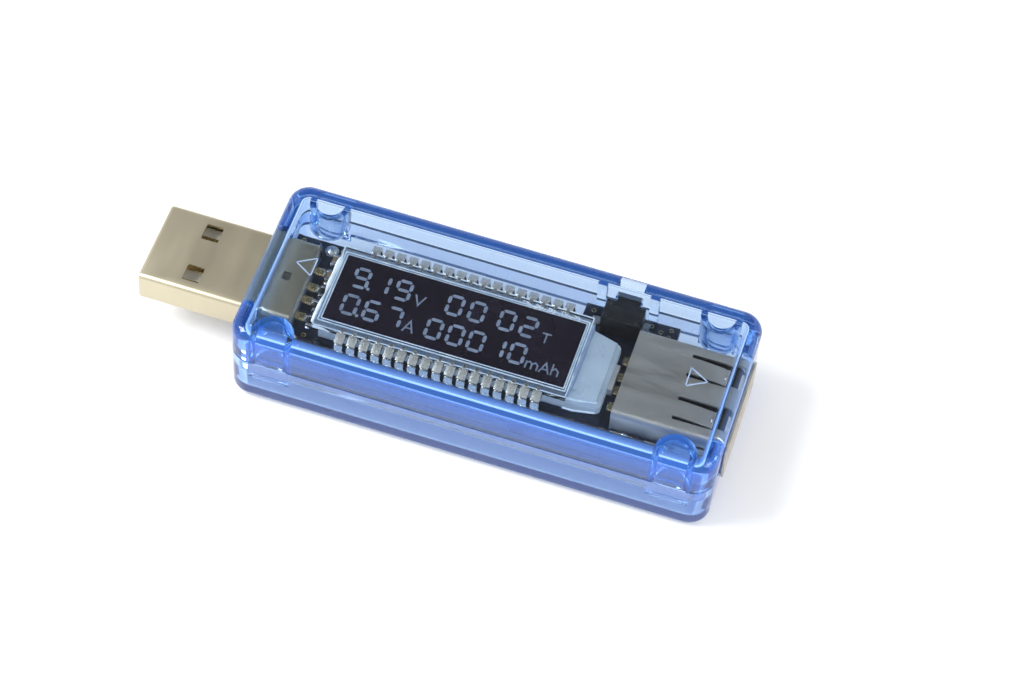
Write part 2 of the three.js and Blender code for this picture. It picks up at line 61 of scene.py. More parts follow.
case_high = span("upper_case")[1]
board_low, board_high = span("circuit_board")
plug_low, plug_high = span("plug_shell")
socket_low, socket_high = span("socket_shell")
glass_low, glass_high = span("display_front_glass")
rear_glass_high = span("display_rear_glass")[1]
film_low, film_high = span("front_polarizer")
guide_low, guide_high = span("light_guide")
switch_low, switch_high = span("switch_housing")
button_low, button_high = span("reset_button")

HALF_LENGTH = case_high.x
HALF_WIDTH = case_high.y
TOP = case_high.z
SEAM = span("lower_case")[1].z
BOARD_TOP = board_high.z

# Sizes that the frame doesn't hold, the same as in the CAD
WALL = 1.6
ROOF = 1.1
FLOOR = 1.3
CORNER = 2.7
TOP_EDGE = 1.4
BOTTOM_EDGE = 1.2
LIP_DEPTH = 2.2
LIP = 0.7
FIT = 0.1
OPENING = 0.3
SHEET = 0.3
SIDES = (-1, 1)
CONTACT_ROWS = (-3.5, -1, 1, 3.5)

# ---- Node tools ------------------------------------------------------------------------------


def material(name, **values):
    """A node material with a Principled shader whose sockets are set: (material, tree, shader, output)."""
    made = bpy.data.materials.new(name)
    made.use_nodes = True
    tree = made.node_tree
    shader = next(n for n in tree.nodes if n.type == "BSDF_PRINCIPLED")
    output = next(n for n in tree.nodes if n.type == "OUTPUT_MATERIAL")
    for key, value in values.items():
        shader.inputs[key.replace("_", " ")].default_value = value
    return made, tree, shader, output


def coordinates(tree, scale=(1, 1, 1)):
    """Object coordinates in metres, scaled."""
    source = tree.nodes.new("ShaderNodeTexCoord")
    mapping = tree.nodes.new("ShaderNodeMapping")
    mapping.inputs["Scale"].default_value = scale
    tree.links.new(source.outputs["Object"], mapping.inputs["Vector"])
    return mapping.outputs["Vector"]


def noise(tree, scale, detail=3.0, stretch=(1, 1, 1)):
    """Noise in object space; scale is its waves in a metre."""
    made = tree.nodes.new("ShaderNodeTexNoise")
    made.inputs["Scale"].default_value = scale
    made.inputs["Detail"].default_value = detail
    tree.links.new(coordinates(tree, stretch), made.inputs["Vector"])
    return made.outputs["Fac"]


def stepped(tree, source, stops):
    """A colour read from (position, colour) stops."""
    curve = tree.nodes.new("ShaderNodeValToRGB")
    elements = curve.color_ramp.elements
    while len(elements) < len(stops):
        elements.new(0.5)
    for element, (position, tint) in zip(elements, stops):
        element.position = position
        element.color = (*tint, 1)
    tree.links.new(source, curve.inputs["Fac"])
    return curve.outputs["Color"]


def drift(tree, source, dark, light):
    """A colour that drifts between two tints as a noise does."""
    return stepped(tree, source, ((0.35, dark), (0.65, light)))


def number_ramp(tree, source, low, high, start=0.3, end=0.7):
    """A value that runs from low to high as the source does from start to end."""
    made = tree.nodes.new("ShaderNodeMapRange")
    made.inputs["From Min"].default_value = start
    made.inputs["From Max"].default_value = end
    made.inputs["To Min"].default_value = low
    made.inputs["To Max"].default_value = high
    tree.links.new(source, made.inputs["Value"])
    return made.outputs["Result"]


def colour(tree, shader, source, socket="Base Color"):
    """Links a colour or a number to one of the shader's sockets."""
    tree.links.new(source, shader.inputs[socket])


def gloss(tree, shader, source, low, high):
    """Roughness between two values, as a noise says."""
    tree.links.new(number_ramp(tree, source, low, high), shader.inputs["Roughness"])


def bump(tree, shader, source, strength, depth):
    """A bump of the given depth in millimetres."""
    made = tree.nodes.new("ShaderNodeBump")
    made.inputs["Strength"].default_value = strength
    made.inputs["Distance"].default_value = depth * MM
    tree.links.new(source, made.inputs["Height"])
    tree.links.new(made.outputs["Normal"], shader.inputs["Normal"])


def axis_part(tree, source, axis):
    """One axis of a vector."""
    split = tree.nodes.new("ShaderNodeSeparateXYZ")
    tree.links.new(source, split.inputs["Vector"])
    return split.outputs[axis]


def without_sign(tree, source):
    """A number without its sign."""
    made = tree.nodes.new("ShaderNodeMath")
    made.operation = "ABSOLUTE"
    tree.links.new(source, made.inputs[0])
    return made.outputs["Value"]


def past(tree, axis, start, end, both_sides=False):
    """How far a place is from start to end along an axis, in millimetres, as 0 to 1."""
    place = axis_part(tree, coordinates(tree), axis)
    if both_sides:
        place = without_sign(tree, place)
    return number_ramp(tree, place, 0.0, 1.0, start * MM, end * MM)


def by_slope(tree, stops):
    """A colour that changes with how level a face is: (0 for upright to 1 for level, colour) stops."""
    geometry = tree.nodes.new("ShaderNodeNewGeometry")
    return stepped(tree, without_sign(tree, axis_part(tree, geometry.outputs["Normal"], "Z")), stops)


def blend(tree, first, second, factor=1.0, kind="MIX"):
    """Two colours blended by a fixed factor or by a linked one."""
    made = tree.nodes.new("ShaderNodeMix")
    made.data_type = "RGBA"
    made.blend_type = kind
    if isinstance(factor, float):
        made.inputs["Factor"].default_value = factor
    else:
        tree.links.new(factor, made.inputs["Factor"])
    tree.links.new(first, made.inputs["A"])
    tree.links.new(second, made.inputs["B"])
    return made.outputs["Result"]


# ---- Node materials --------------------------------------------------------------------------

CLEAR = (1.0, 1.0, 1.0)
WHITE_LIGHT = (0.97, 0.985, 1.0, 1)
DEPTH_COLOUR = (0.06, 0.45, 0.80, 1)
# The colour of the painted glow that both shells give off
PAINTED_GLOW_COLOUR = (0.05, 0.26, 0.85, 1)
UPPER_DENSITY = 150
LOWER_DENSITY = 220
CASE_ROUGHNESS = 0.03
STEEP = 0.3
LEVEL = 0.97

# The upper shell near its foot, high on its near wall, and on the far side: a tint, deeper on the near side
# as painted shade of the dark under the board, then a painted glow by slope
NEAR_SHADE_TINT = (0.62, 0.74, 0.94)
HIGH_SHADE_TINT = (0.30, 0.48, 0.92)
FAR_TINT = (0.82, 0.88, 0.96)
NEAR_PAINTED_GLOW = ((0.0, 0.04), (0.25, 0.20), (0.9, 0.22), (0.985, 0.0))
HIGH_PAINTED_GLOW = ((0.0, 0.22), (0.25, 0.26), (0.9, 0.20), (0.985, 0.0))
FAR_PAINTED_GLOW = ((0.0, 0.03), (0.25, 0.08), (0.9, 0.10), (0.985, 0.0))
FAR_START = 8.0
HIGH_START = 8.3
HIGH_END = 10.9

# The lower shell's level faces, its part under the board with a painted shadow, and both shells' ends
LEVEL_TINT = (0.72, 0.82, 0.94)
SHADE_TINT = (0.40, 0.50, 0.74)
SHADE_START = 6.5
SHADE_END = 10.9
END_TINT = (0.58, 0.72, 0.94)
END_START = HALF_LENGTH - 3
END_STOP = HALF_LENGTH - 1.2


def plastic(name, density):
    """Clear azure plastic, coloured by what its thickness absorbs, with the colour of a painted glow set for
    its emission.
    """
    made, tree, shader, output = material(
        name, Base_Color=(1, 1, 1, 1), Transmission_Weight=1.0, IOR=1.57, Emission_Color=PAINTED_GLOW_COLOUR,
    )
    gloss(tree, shader, noise(tree, 900, 4), CASE_ROUGHNESS * 0.6, CASE_ROUGHNESS * 1.6)
    bump(tree, shader, noise(tree, 160, 2), 0.12, 0.02)
    absorb = tree.nodes.new("ShaderNodeVolumeAbsorption")
    absorb.inputs["Color"].default_value = DEPTH_COLOUR
    absorb.inputs["Density"].default_value = density
    tree.links.new(absorb.outputs["Volume"], output.inputs["Volume"])
    return made, tree, shader


def upper_plastic():
    """The upper shell's plastic: a painted glow on its walls and edges but not on its roof, for a dark
    display, and painted shade on its near wall.
    """
    made, tree, shader = plastic("blue_plastic", UPPER_DENSITY)
    far = past(tree, "Y", -FAR_START, FAR_START)
    high = past(tree, "Z", HIGH_START, HIGH_END)
    glows = [
        by_slope(tree, [(place, (strength,) * 3) for place, strength in stops])
        for stops in (NEAR_PAINTED_GLOW, HIGH_PAINTED_GLOW, FAR_PAINTED_GLOW)
    ]
    tints = [by_slope(tree, ((STEEP, tint), (LEVEL, CLEAR))) for tint in (NEAR_SHADE_TINT, HIGH_SHADE_TINT, FAR_TINT)]
    glow, tint = (
        blend(tree, blend(tree, near, top, high), back, far) for near, top, back in (glows, tints)
    )
    # Painted glow: emission on the walls and edges, strongest high on the near wall, none on the roof
    colour(tree, shader, glow, "Emission Strength")
    # Base colour: a tint on steep faces, deeper on the near side as painted shade, deepest high on the near
    # wall
    end_tint = blend(tree, tint, by_slope(tree, ((STEEP, END_TINT), (LEVEL, CLEAR))), kind="MULTIPLY")
    colour(tree, shader, blend(tree, tint, end_tint, past(tree, "X", END_START, END_STOP, True)))
    return made


def lower_plastic():
    """The lower shell's plastic: a painted shadow of the board in its middle, deeper at its ends, and a
    little painted glow all over.
    """
    made, tree, shader = plastic("lower_plastic", LOWER_DENSITY)
    tint = by_slope(tree, ((0.5, CLEAR), (LEVEL, LEVEL_TINT)))
    # Painted shadow of the board, darkest in the middle under it
    shade = stepped(tree, past(tree, "Y", SHADE_START, SHADE_END, True), ((0.0, SHADE_TINT), (1.0, CLEAR)))
    ends = stepped(tree, past(tree, "X", END_START, END_STOP, True), ((0.0, CLEAR), (1.0, END_TINT)))
    colour(tree, shader, blend(tree, blend(tree, tint, shade, kind="MULTIPLY"), ends, kind="MULTIPLY"))
    # A little painted glow all over
    shader.inputs["Emission Strength"].default_value = 0.06
    return made


def metal(name, dark, light, roughness, scale, stretch=(1, 1, 1), depth=0.004, spread=0.3):
    """Plated metal: faint stains in its colour and its gloss, and drawing marks."""
    made, tree, shader, _ = material(name, Metallic=1.0)
    colour(tree, shader, drift(tree, noise(tree, scale, 5), dark, light))
    marks = noise(tree, scale * 6, 3, stretch)
    gloss(tree, shader, marks, roughness * (1 - spread), roughness * (1 + spread))
    bump(tree, shader, marks, 0.25, depth)
    return made


def moulded(name, dark, light, roughness, scale=600, depth=0.01):
    """Moulded plastic or resin with a fine grain."""
    made, tree, shader, _ = material(name)
    grain = noise(tree, scale, 4)
    colour(tree, shader, drift(tree, grain, dark, light))
    gloss(tree, shader, grain, roughness * 0.8, roughness * 1.2)
    bump(tree, shader, noise(tree, scale * 5, 2), 0.3, depth)
    return made


def clouded(name, dark, light, scale, low, high, **values):
    """A surface whose colour and gloss both drift with one soft cloud."""
    made, tree, shader, _ = material(name, **values)
    cloud = noise(tree, scale, 3)
    colour(tree, shader, drift(tree, cloud, dark, light))
    gloss(tree, shader, cloud, low, high)
    return made


def glowing(name, dark, light, strength, roughness=0.35, scale=800):
    """A surface with a painted glow, standing in for the backlight, in its own uneven colour."""
    made, tree, shader, _ = material(name, Roughness=roughness, Emission_Strength=strength)
    tint = drift(tree, noise(tree, scale, 4), dark, light)
    colour(tree, shader, tint)
    colour(tree, shader, tint, "Emission Color")
    return made


def clear_glass():
    """Display glass with faint smears."""
    made, tree, shader, _ = material(
        "display_glass", Base_Color=(0.97, 0.99, 1, 1), Transmission_Weight=1.0, IOR=1.5,
    )
    gloss(tree, shader, noise(tree, 140, 3), 0.0, 0.03)
    return made


def board_mask():
    """Blue-black solder mask with faint copper runs under it."""
    made, tree, shader, _ = material("board_mask", Coat_Weight=0.4, Coat_Roughness=0.15)
    runs = tree.nodes.new("ShaderNodeTexBrick")
    runs.inputs["Scale"].default_value = 330
    runs.inputs["Mortar Size"].default_value = 0.06
    runs.inputs["Color1"].default_value = (0.010, 0.013, 0.035, 1)
    runs.inputs["Color2"].default_value = (0.014, 0.018, 0.048, 1)
    runs.inputs["Mortar"].default_value = (0.006, 0.008, 0.02, 1)
    tree.links.new(coordinates(tree), runs.inputs["Vector"])
    colour(tree, shader, runs.outputs["Color"])
    gloss(tree, shader, noise(tree, 500), 0.28, 0.42)
    bump(tree, shader, runs.outputs["Fac"], 0.3, 0.02)
    return made


# Each look: its material and the record's material slot that it belongs to
LOOKS = {
    "blue_plastic": (upper_plastic(), "blue_plastic"),
    "lower_plastic": (lower_plastic(), "blue_plastic"),
    "board": (board_mask(), "board_resin"),
    "nickel": (
        metal("nickel_plate", (0.58, 0.52, 0.38), (0.64, 0.58, 0.43), 0.42, 60, (1, 0.2, 1), 0.0002, 0.06),
        "nickel_steel",
    ),
    "tin": (
        metal("tin_plate", (0.60, 0.565, 0.515), (0.67, 0.635, 0.58), 0.55, 120, (0.15, 1, 1)),
        "tinned_steel",
    ),
    "pin": (
        metal("pin_tin", (0.68, 0.66, 0.61), (0.74, 0.72, 0.67), 0.28, 260, (1, 1, 1), 0.0001, 0.1),
        "pin_tin",
    ),
    "solder": (metal("solder", (0.55, 0.55, 0.55), (0.78, 0.78, 0.77), 0.22, 1500), "pin_tin"),
    "gold": (metal("contact_gold", (0.70, 0.56, 0.30), (0.86, 0.72, 0.45), 0.25, 800), "contact_gold"),
    "spring": (metal("spring_steel", (0.50, 0.50, 0.50), (0.66, 0.66, 0.65), 0.25, 600), "spring_steel"),
    "white": (moulded("white_moulding", (0.66, 0.66, 0.63), (0.76, 0.76, 0.73), 0.45), "white_plastic"),
    "black": (moulded("black_moulding", (0.008, 0.008, 0.009), (0.02, 0.02, 0.021), 0.42), "black_plastic"),
    "chip": (
        moulded("chip_resin", (0.010, 0.010, 0.012), (0.024, 0.024, 0.026), 0.5, 900, 0.012),
        "chip_resin",
    ),
    "tan": (moulded("capacitor_ceramic", (0.30, 0.20, 0.12), (0.42, 0.30, 0.19), 0.45, 1200), "ceramic_tan"),
    "mark": (moulded("printed_mark", (0.30, 0.43, 0.66), (0.38, 0.51, 0.73), 0.5), "white_plastic"),
    "reflector": (
        moulded("reflector_film", (0.75, 0.78, 0.82), (0.85, 0.88, 0.9), 0.35, 300, 0.004),
        "reflector_film",
    ),
    "film": (
        clouded("display_film", (0.014, 0.006, 0.018), (0.021, 0.010, 0.027), 90, 0.2, 0.32,
                Coat_Weight=0.15, Coat_Roughness=0.05),
        "display_film",
    ),
    # The guide's emission is a painted glow of the backlight
    "guide": (
        clouded("frosted_guide_painted_glow", (0.50, 0.59, 0.67), (0.66, 0.75, 0.82), 220, 0.25, 0.4,
                Transmission_Weight=0.3, IOR=1.49, Emission_Strength=0.18, Emission_Color=(0.72, 0.86, 1, 1)),
        "guide_acrylic",
    ),
    # Lit segments, seal and glass edges carry a painted glow in place of the backlight; the bright glue
    # carries a painted highlight
    "segment": (
        glowing("lit_segment", (0.24, 0.29, 0.39), (0.36, 0.42, 0.53), 0.12, 0.5, 700), "display_film",
    ),
    "seal": (glowing("seal_painted_glow", (0.30, 0.42, 0.62), (0.45, 0.57, 0.76), 0.12), "clear_glass"),
    "bright": (glowing("glue_painted_highlight", (0.80, 0.89, 0.96), (0.95, 0.98, 1.0), 0.8), "clear_glass"),
    "edge": (glowing("glass_edge_painted_glow", (0.56, 0.70, 0.86), (0.82, 0.92, 1.0), 0.35), "clear_glass"),
    "glass": (clear_glass(), "clear_glass"),
}

# The CAD nodes that stay, each in a look
CARRIED = {
    "rear_polarizer": "film",
    "backlight_reflector": "reflector",
    "backlight_lamp": "white",
    "snap_dome": "spring",
    "switch_terminal_left": "pin",
    "switch_terminal_right": "pin",
}
for index in range(1, 5):
    CARRIED[f"socket_contact_{index}"] = "gold"
for node, look in CARRIED.items():
    nodes[node].data.materials.clear()
    nodes[node].data.materials.append(LOOKS[look][0])

# ---- Mesh tools, which draw in millimetres ---------------------------------------------------


def place(name, mesh, look, replaces=(), body=METER, angle=35):
    """A finished piece from a mesh: smooth but for its sharp edges, in a look, on a body."""
    surface, slot = LOOKS[look]
    mesh.materials.clear()
    mesh.materials.append(surface)
    mesh.polygons.foreach_set("use_smooth", [True] * len(mesh.polygons))
    mesh.set_sharp_from_angle(angle=math.radians(angle))
    made = bpy.data.objects.new(name, mesh)
    bpy.context.scene.collection.objects.link(made)
    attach(made, body)
    if replaces:
        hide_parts(*replaces)
    return made


def mesh_of(bm, name="work"):
    """A mesh from a bmesh, its faces turned outwards."""
    bmesh.ops.recalc_face_normals(bm, faces=bm.faces[:])
    mesh = bpy.data.meshes.new(name)
    bm.to_mesh(mesh)
    bm.free()
    return mesh


def build(name, bm, look, **options):
    """A finished piece straight from a bmesh."""
    return place(name, mesh_of(bm, name), look, **options)


def work_mesh(maker, *values):
    """The closed mesh that a maker draws in a new bmesh."""
    bm = bmesh.new()
    maker(bm, *values)
    return mesh_of(bm)


def combine(mesh, *steps):
    """A closed mesh after Boolean steps, each (operation, closed tool mesh)."""
    collection = bpy.context.scene.collection
    base = bpy.data.objects.new("base", mesh)
    collection.objects.link(base)
    tools = []
    for operation, tool in steps:
        made = bpy.data.objects.new("tool", tool)
        collection.objects.link(made)
        step = base.modifiers.new("step", "BOOLEAN")
        step.operation = operation
        step.object = made
        step.solver = "MANIFOLD"
        tools.append(made)
    bpy.context.view_layer.update()
    graph = bpy.context.evaluated_depsgraph_get()
    result = bpy.data.meshes.new_from_object(base.evaluated_get(graph))
    for made in [base, *tools]:
        bpy.data.objects.remove(made)
    return result


def rectangle(x0, x1, y0, y1, radius, steps=6):
    """A rounded rectangle's points, anticlockwise, as (x, y)."""
    centres = (
        (x1 - radius, y1 - radius),
        (x0 + radius, y1 - radius),
        (x0 + radius, y0 + radius),
        (x1 - radius, y0 + radius),
    )
    points = []
    for quarter, (cx, cy) in enumerate(centres):
        for step in range(steps + 1):
            angle = (quarter + step / steps) * TURN / 4
            points.append((cx + radius * math.cos(angle), cy + radius * math.sin(angle)))
    return points


def circle(x, y, radius, count):
    """A circle's points, as (x, y)."""
    angles = [TURN * index / count for index in range(count)]
    return [(x + radius * math.cos(angle), y + radius * math.sin(angle)) for angle in angles]


def flat(points, z):
    """Points (x, y) laid flat at height z."""
    return [Vector((x, y, z)) for x, y in points]


def upright(points, x):
    """Points (y, z) stood across the meter at x."""
    return [Vector((x, y, z)) for y, z in points]


def across(points, y):
    """Points (x, z) stood along the meter at y."""
    return [Vector((x, y, z)) for x, z in points]


def loft(bm, rings, closed=False):
    """A solid in metres through rings in millimetres: capped, or joined round from last to first."""
    rows = [[bm.verts.new(Vector(point) * MM) for point in ring] for ring in rings]
    count = len(rows[0])
    pairs = list(zip(rows, rows[1:]))
    if closed:
        pairs.append((rows[-1], rows[0]))
    for lower, upper in pairs:
        for index in range(count):
            after = (index + 1) % count
            bm.faces.new((lower[index], lower[after], upper[after], upper[index]))
    if not closed:
        bm.faces.new(rows[0][::-1])
        bm.faces.new(rows[-1])


def prism(bm, ring, run, edge=0.0):
    """A solid drawn out from a ring by a vector, its two end faces' edges rounded by edge."""
    before = set(bm.edges)
    loft(bm, [ring, [point + run for point in ring]])
    if edge:
        flow = run.normalized()
        rims = [
            made for made in bm.edges
            if made not in before and abs((made.verts[1].co - made.verts[0].co).dot(flow)) < 1e-7
        ]
        bmesh.ops.bevel(bm, geom=rims, offset=edge * MM, segments=2, affect="EDGES", profile=0.5)


def plate(bm, points, z, thickness, edge=0.0):
    """A flat plate on an outline of (x, y) points, its foot at height z."""
    prism(bm, flat(points, z), Vector((0, 0, thickness)), edge)


def brick(bm, low, high, edge, steps=2):
    """A box between two corners with every edge rounded."""
    low, high = Vector(low), Vector(high)
    corners = [(low.x, low.y), (high.x, low.y), (high.x, high.y), (low.x, high.y)]
    before = set(bm.edges)
    loft(bm, [flat(corners, low.z), flat(corners, high.z)])
    edges = [made for made in bm.edges if made not in before]
    bmesh.ops.bevel(bm, geom=edges, offset=edge * MM, segments=steps, affect="EDGES", profile=0.5)


def fillet(points, radius, steps=4):
    """A line of (u, v) points with its inner corners rounded."""
    line = [Vector(point) for point in points]
    smooth = [line[0]]
    for before, corner, after in zip(line, line[1:], line[2:]):
        reach = min(radius, (before - corner).length / 2.1, (after - corner).length / 2.1)
        start = corner + (before - corner).normalized() * reach
        end = corner + (after - corner).normalized() * reach
        for step in range(steps + 1):
            part = step / steps
            smooth.append(start.lerp(corner, part).lerp(corner.lerp(end, part), part))
    smooth.append(line[-1])
    return smooth


def ribbon(points, thickness):
    """The outline of a strip of even thickness whose middle follows (u, v) points."""
    line = [Vector(point) for point in points]
    normals = [Vector((a.y - b.y, b.x - a.x)).normalized() for a, b in zip(line, line[1:])]
    sides = []
    for sign in SIDES[::-1]:
        side = []
        for index, point in enumerate(line):
            before = normals[max(index - 1, 0)]
            after = normals[min(index, len(normals) - 1)]
            mitre = (before + after).normalized()
            side.append(point + mitre * (sign * thickness / 2 / max(mitre.dot(before), 0.3)))
        sides.append(side)
    return [(point.x, point.y) for point in sides[0] + sides[1][::-1]]


def dome(bm, centre, radius, height, steps=4, count=20):
    """A low round mound on a flat place, such as a solder joint."""
    rings = []
    for step in range(steps):
        angle = step / steps * TURN / 4
        reach = radius * math.cos(angle)
        rings.append(flat(circle(centre[0], centre[1], reach, count), centre[2] + height * math.sin(angle)))
    loft(bm, rings)


# ---- Case ------------------------------------------------------------------------------------

SEAM_GAP = 0.05
ROOF_BELOW = TOP - ROOF
INSIDE = HALF_WIDTH - WALL
ABOVE_BOARD = BOARD_TOP + 0.3
PLUG_Z = (plug_low.z + plug_high.z) / 2
PLUG_HALF = (plug_high.y, (plug_high.z - plug_low.z) / 2)
FLANGE = 0.5
SOCKET_Z = (socket_low.z + socket_high.z) / 2
SOCKET_HALF = (socket_high.y - FLANGE, (socket_high.z - socket_low.z) / 2 - FLANGE)
LATCH_X = 25.3
LATCH_WIDTH = 5.2
LATCH_FOOT = SEAM - 3.3
BARB_WIDTH = LATCH_WIDTH - 1
LATCHES = [(x, side) for x in (-LATCH_X, LATCH_X) for side in SIDES]
POST_RADIUS = 2.6
POST_THICKNESS = 0.8
RIB_REACH = 3.35
RIB_WIDTH = 1.2
BOARD_POSTS = [(x, side * 5.4) for x in (-18, 5) for side in SIDES]
BUTTON_X = (button_low.x + button_high.x) / 2
BUTTON_Z = (button_low.z + button_high.z) / 2


def case_ring(inset, z, least=0.4):
    """The case's outline, drawn in by an inset, at height z."""
    radius = max(CORNER - inset, least)
    reach = HALF_LENGTH - inset
    side = HALF_WIDTH - inset
    return flat(rectangle(-reach, reach, -side, side, radius, 10), z)


def case_block(bm, steps):
    """The solid whose outline has each (inset, height) in turn."""
    loft(bm, [case_ring(inset, z) for inset, z in steps])


def rounding(edge, z, way, steps=7, inset=0.0):
    """(inset, height) steps round an edge of the given radius that ends at height z."""
    made = []
    for step in range(steps + 1):
        angle = step / steps * TURN / 4
        made.append((inset + edge - edge * math.cos(angle), z - way * (edge - edge * math.sin(angle))))
    return made


def lip_ring(bm, outer, inner, low, high):
    """A band that follows the case's wall between two insets."""
    corners = ((outer, low), (outer, high), (inner, high), (inner, low))
    loft(bm, [case_ring(inset, z) for inset, z in corners], True)


def wall_boxes(bm, places, width, y0, y1, z0, z1, edge=0.08):
    """A small rounded block at each (x, side), between two distances from the middle line."""
    for x, side in places:
        near, far = sorted((side * y0, side * y1))
        brick(bm, (x - width / 2, near, z0), (x + width / 2, far, z1), edge)


def opening_block(bm, x0, x1, half, z, radius=0.5):
    """A rounded hole through an end wall, for a part of the given half width and half height."""
    width, height = half[0] + OPENING, half[1] + OPENING
    ring = rectangle(-width, width, z - height, z + height, radius, 5)
    loft(bm, [upright(ring, x0), upright(ring, x1)])


def button_hole(bm):
    """The hole in the far wall that the button is pressed through."""
    low = (button_low.x + 0.1, INSIDE - 1, button_low.z + 0.1)
    high = (button_high.x - 0.1, HALF_WIDTH + 1, button_high.z - 0.1)
    brick(bm, low, high, 0.25, 3)


def opening_steps():
    """The cuts for the plug, the socket and the button, the same in both shells."""
    plug = work_mesh(opening_block, -HALF_LENGTH - 1, -HALF_LENGTH + 3, PLUG_HALF, PLUG_Z)
    socket = work_mesh(opening_block, HALF_LENGTH - 3, HALF_LENGTH + 1, SOCKET_HALF, SOCKET_Z)
    return [("DIFFERENCE", tool) for tool in (plug, socket, work_mesh(button_hole))]


def guide_posts(bm):
    """The U-shaped guides that hang from the roof against the long walls."""
    middle = POST_RADIUS - POST_THICKNESS / 2
    steps = 12
    for x, side in LATCHES:
        line = [(x - middle, side * (INSIDE + 0.2))]
        for step in range(steps + 1):
            angle = step / steps * TURN / 2
            y = INSIDE - POST_THICKNESS / 2 - middle * math.sin(angle)
            line.append((x - middle * math.cos(angle), side * y))
        line.append((x + middle, side * (INSIDE + 0.2)))
        plate(bm, ribbon(line, POST_THICKNESS), ABOVE_BOARD, ROOF_BELOW + 0.2 - ABOVE_BOARD, 0.08)


def upper_shell():
    """The upper shell: a lip and latch tongues at its foot, guides and button ribs under its roof."""
    foot = SEAM + SEAM_GAP / 2
    outside = work_mesh(case_block, [(0.1, foot), (0, foot + 0.1)] + rounding(TOP_EDGE, TOP, 1))
    inside = work_mesh(case_block, [(WALL, SEAM - 1)] + rounding(0.8, ROOF_BELOW, 1, 6, WALL))
    lip = work_mesh(lip_ring, WALL - LIP, WALL + 0.02, SEAM - LIP_DEPTH, SEAM + 0.5)
    tongues = work_mesh(wall_boxes, LATCHES, LATCH_WIDTH, INSIDE - 0.03, INSIDE + LIP, LATCH_FOOT, SEAM + 0.4)
    barbs = work_mesh(
        wall_boxes, LATCHES, BARB_WIDTH, INSIDE, INSIDE + LIP + 0.35, LATCH_FOOT, LATCH_FOOT + 0.7, 0.2,
    )
    rib_places = [(BUTTON_X + side * RIB_REACH, 1) for side in SIDES]
    ribs = work_mesh(
        wall_boxes, rib_places, RIB_WIDTH, INSIDE - 0.8, INSIDE + 0.1, ABOVE_BOARD, ROOF_BELOW + 0.1,
    )
    added = [("UNION", tool) for tool in (lip, tongues, barbs, work_mesh(guide_posts), ribs)]
    mesh = combine(outside, ("DIFFERENCE", inside), *added, *opening_steps())
    place("upper_shell", mesh, "blue_plastic", ["upper_case"], angle=32)


def board_posts(bm):
    """The four stubs that hold the board up, each wider at its foot."""
    foot = FLOOR - 0.1
    head = board_low.z - 0.03
    steps = ((1.5, foot), (1.3, foot + 0.35), (1.1, head - 0.17), (0.95, head))
    for x, y in BOARD_POSTS:
        loft(bm, [flat(circle(x, y, radius, 24), z) for radius, z in steps])


def lower_shell():
    """The lower shell: a rebate for the lip, pockets for the latches, and stubs for the board."""
    head = SEAM - SEAM_GAP / 2
    outside = work_mesh(case_block, rounding(BOTTOM_EDGE, 0, -1)[::-1] + [(0, head - 0.1), (0.1, head)])
    inside = work_mesh(case_block, rounding(0.4, FLOOR, -1, 4, WALL)[::-1] + [(WALL, SEAM + 1)])
    ledge = WALL - LIP - FIT
    rebate = work_mesh(case_block, [(ledge, SEAM - LIP_DEPTH - FIT), (ledge, SEAM + 1)])
    foot = LATCH_FOOT - FIT
    slots = work_mesh(
        wall_boxes, LATCHES, LATCH_WIDTH + 2 * FIT, INSIDE - 0.5, INSIDE + LIP + FIT, foot, SEAM + 1, 0.05,
    )
    catches = work_mesh(
        wall_boxes, LATCHES, BARB_WIDTH + 2 * FIT, INSIDE - 0.5, INSIDE + LIP + 0.45, foot, foot + 0.9, 0.15,
    )
    cuts = [("DIFFERENCE", tool) for tool in (inside, rebate, slots, catches)]
    mesh = combine(outside, *cuts, ("UNION", work_mesh(board_posts)), *opening_steps())
    place("lower_shell", mesh, "lower_plastic", ["lower_case"], angle=32)


ARROW_HALF = 1.4
ARROW_LINE = 0.14
ARROWS = {"arrow_in": (-23.8, 0.15, -2.3), "arrow_out": (23.9, 0.1, 2.4)}


def arrow_marks():
    """A hollow triangle printed near each end of the top, each pointing at its own end."""
    for name, (back, middle, reach) in ARROWS.items():
        corners = [
            Vector((back, middle + ARROW_HALF)),
            Vector((back + reach, middle)),
            Vector((back, middle - ARROW_HALF)),
        ]
        bm = bmesh.new()
        for start, end in zip(corners, corners[1:] + corners[:1]):
            past_end = (end - start).normalized() * 0.06
            plate(bm, ribbon([start - past_end, end + past_end], ARROW_LINE), TOP - 0.01, 0.03)
        build(name, bm, "mark")


# ---- Circuit board ---------------------------------------------------------------------------

BOARD_SIDE = -board_low.y
PLUG_STOP = plug_high.x + OPENING
SOCKET_STOP = socket_low.x - OPENING
BUTTON_LOBE = (8.4, 20.4)
PAD_HEIGHT = 0.04
VIA_OUTER = 0.32
VIA_INNER = 0.16
VIA_HEIGHT = 0.035
PLUG_SIDE_VIAS = ((-23.9, 7.2), (-22.4, 7.3), (-27.6, 7.4), (-27.5, -7.3), (-24.1, -7.4), (-22.9, -5.9))
SOCKET_SIDE_VIAS = (
    (16.9, 9.6), (18.2, 9.1), (19.4, 9.7), (19.3, 8.6), (9.5, 9.5), (15.4, -7.4), (11.6, -7.5), (19, -7.5),
)


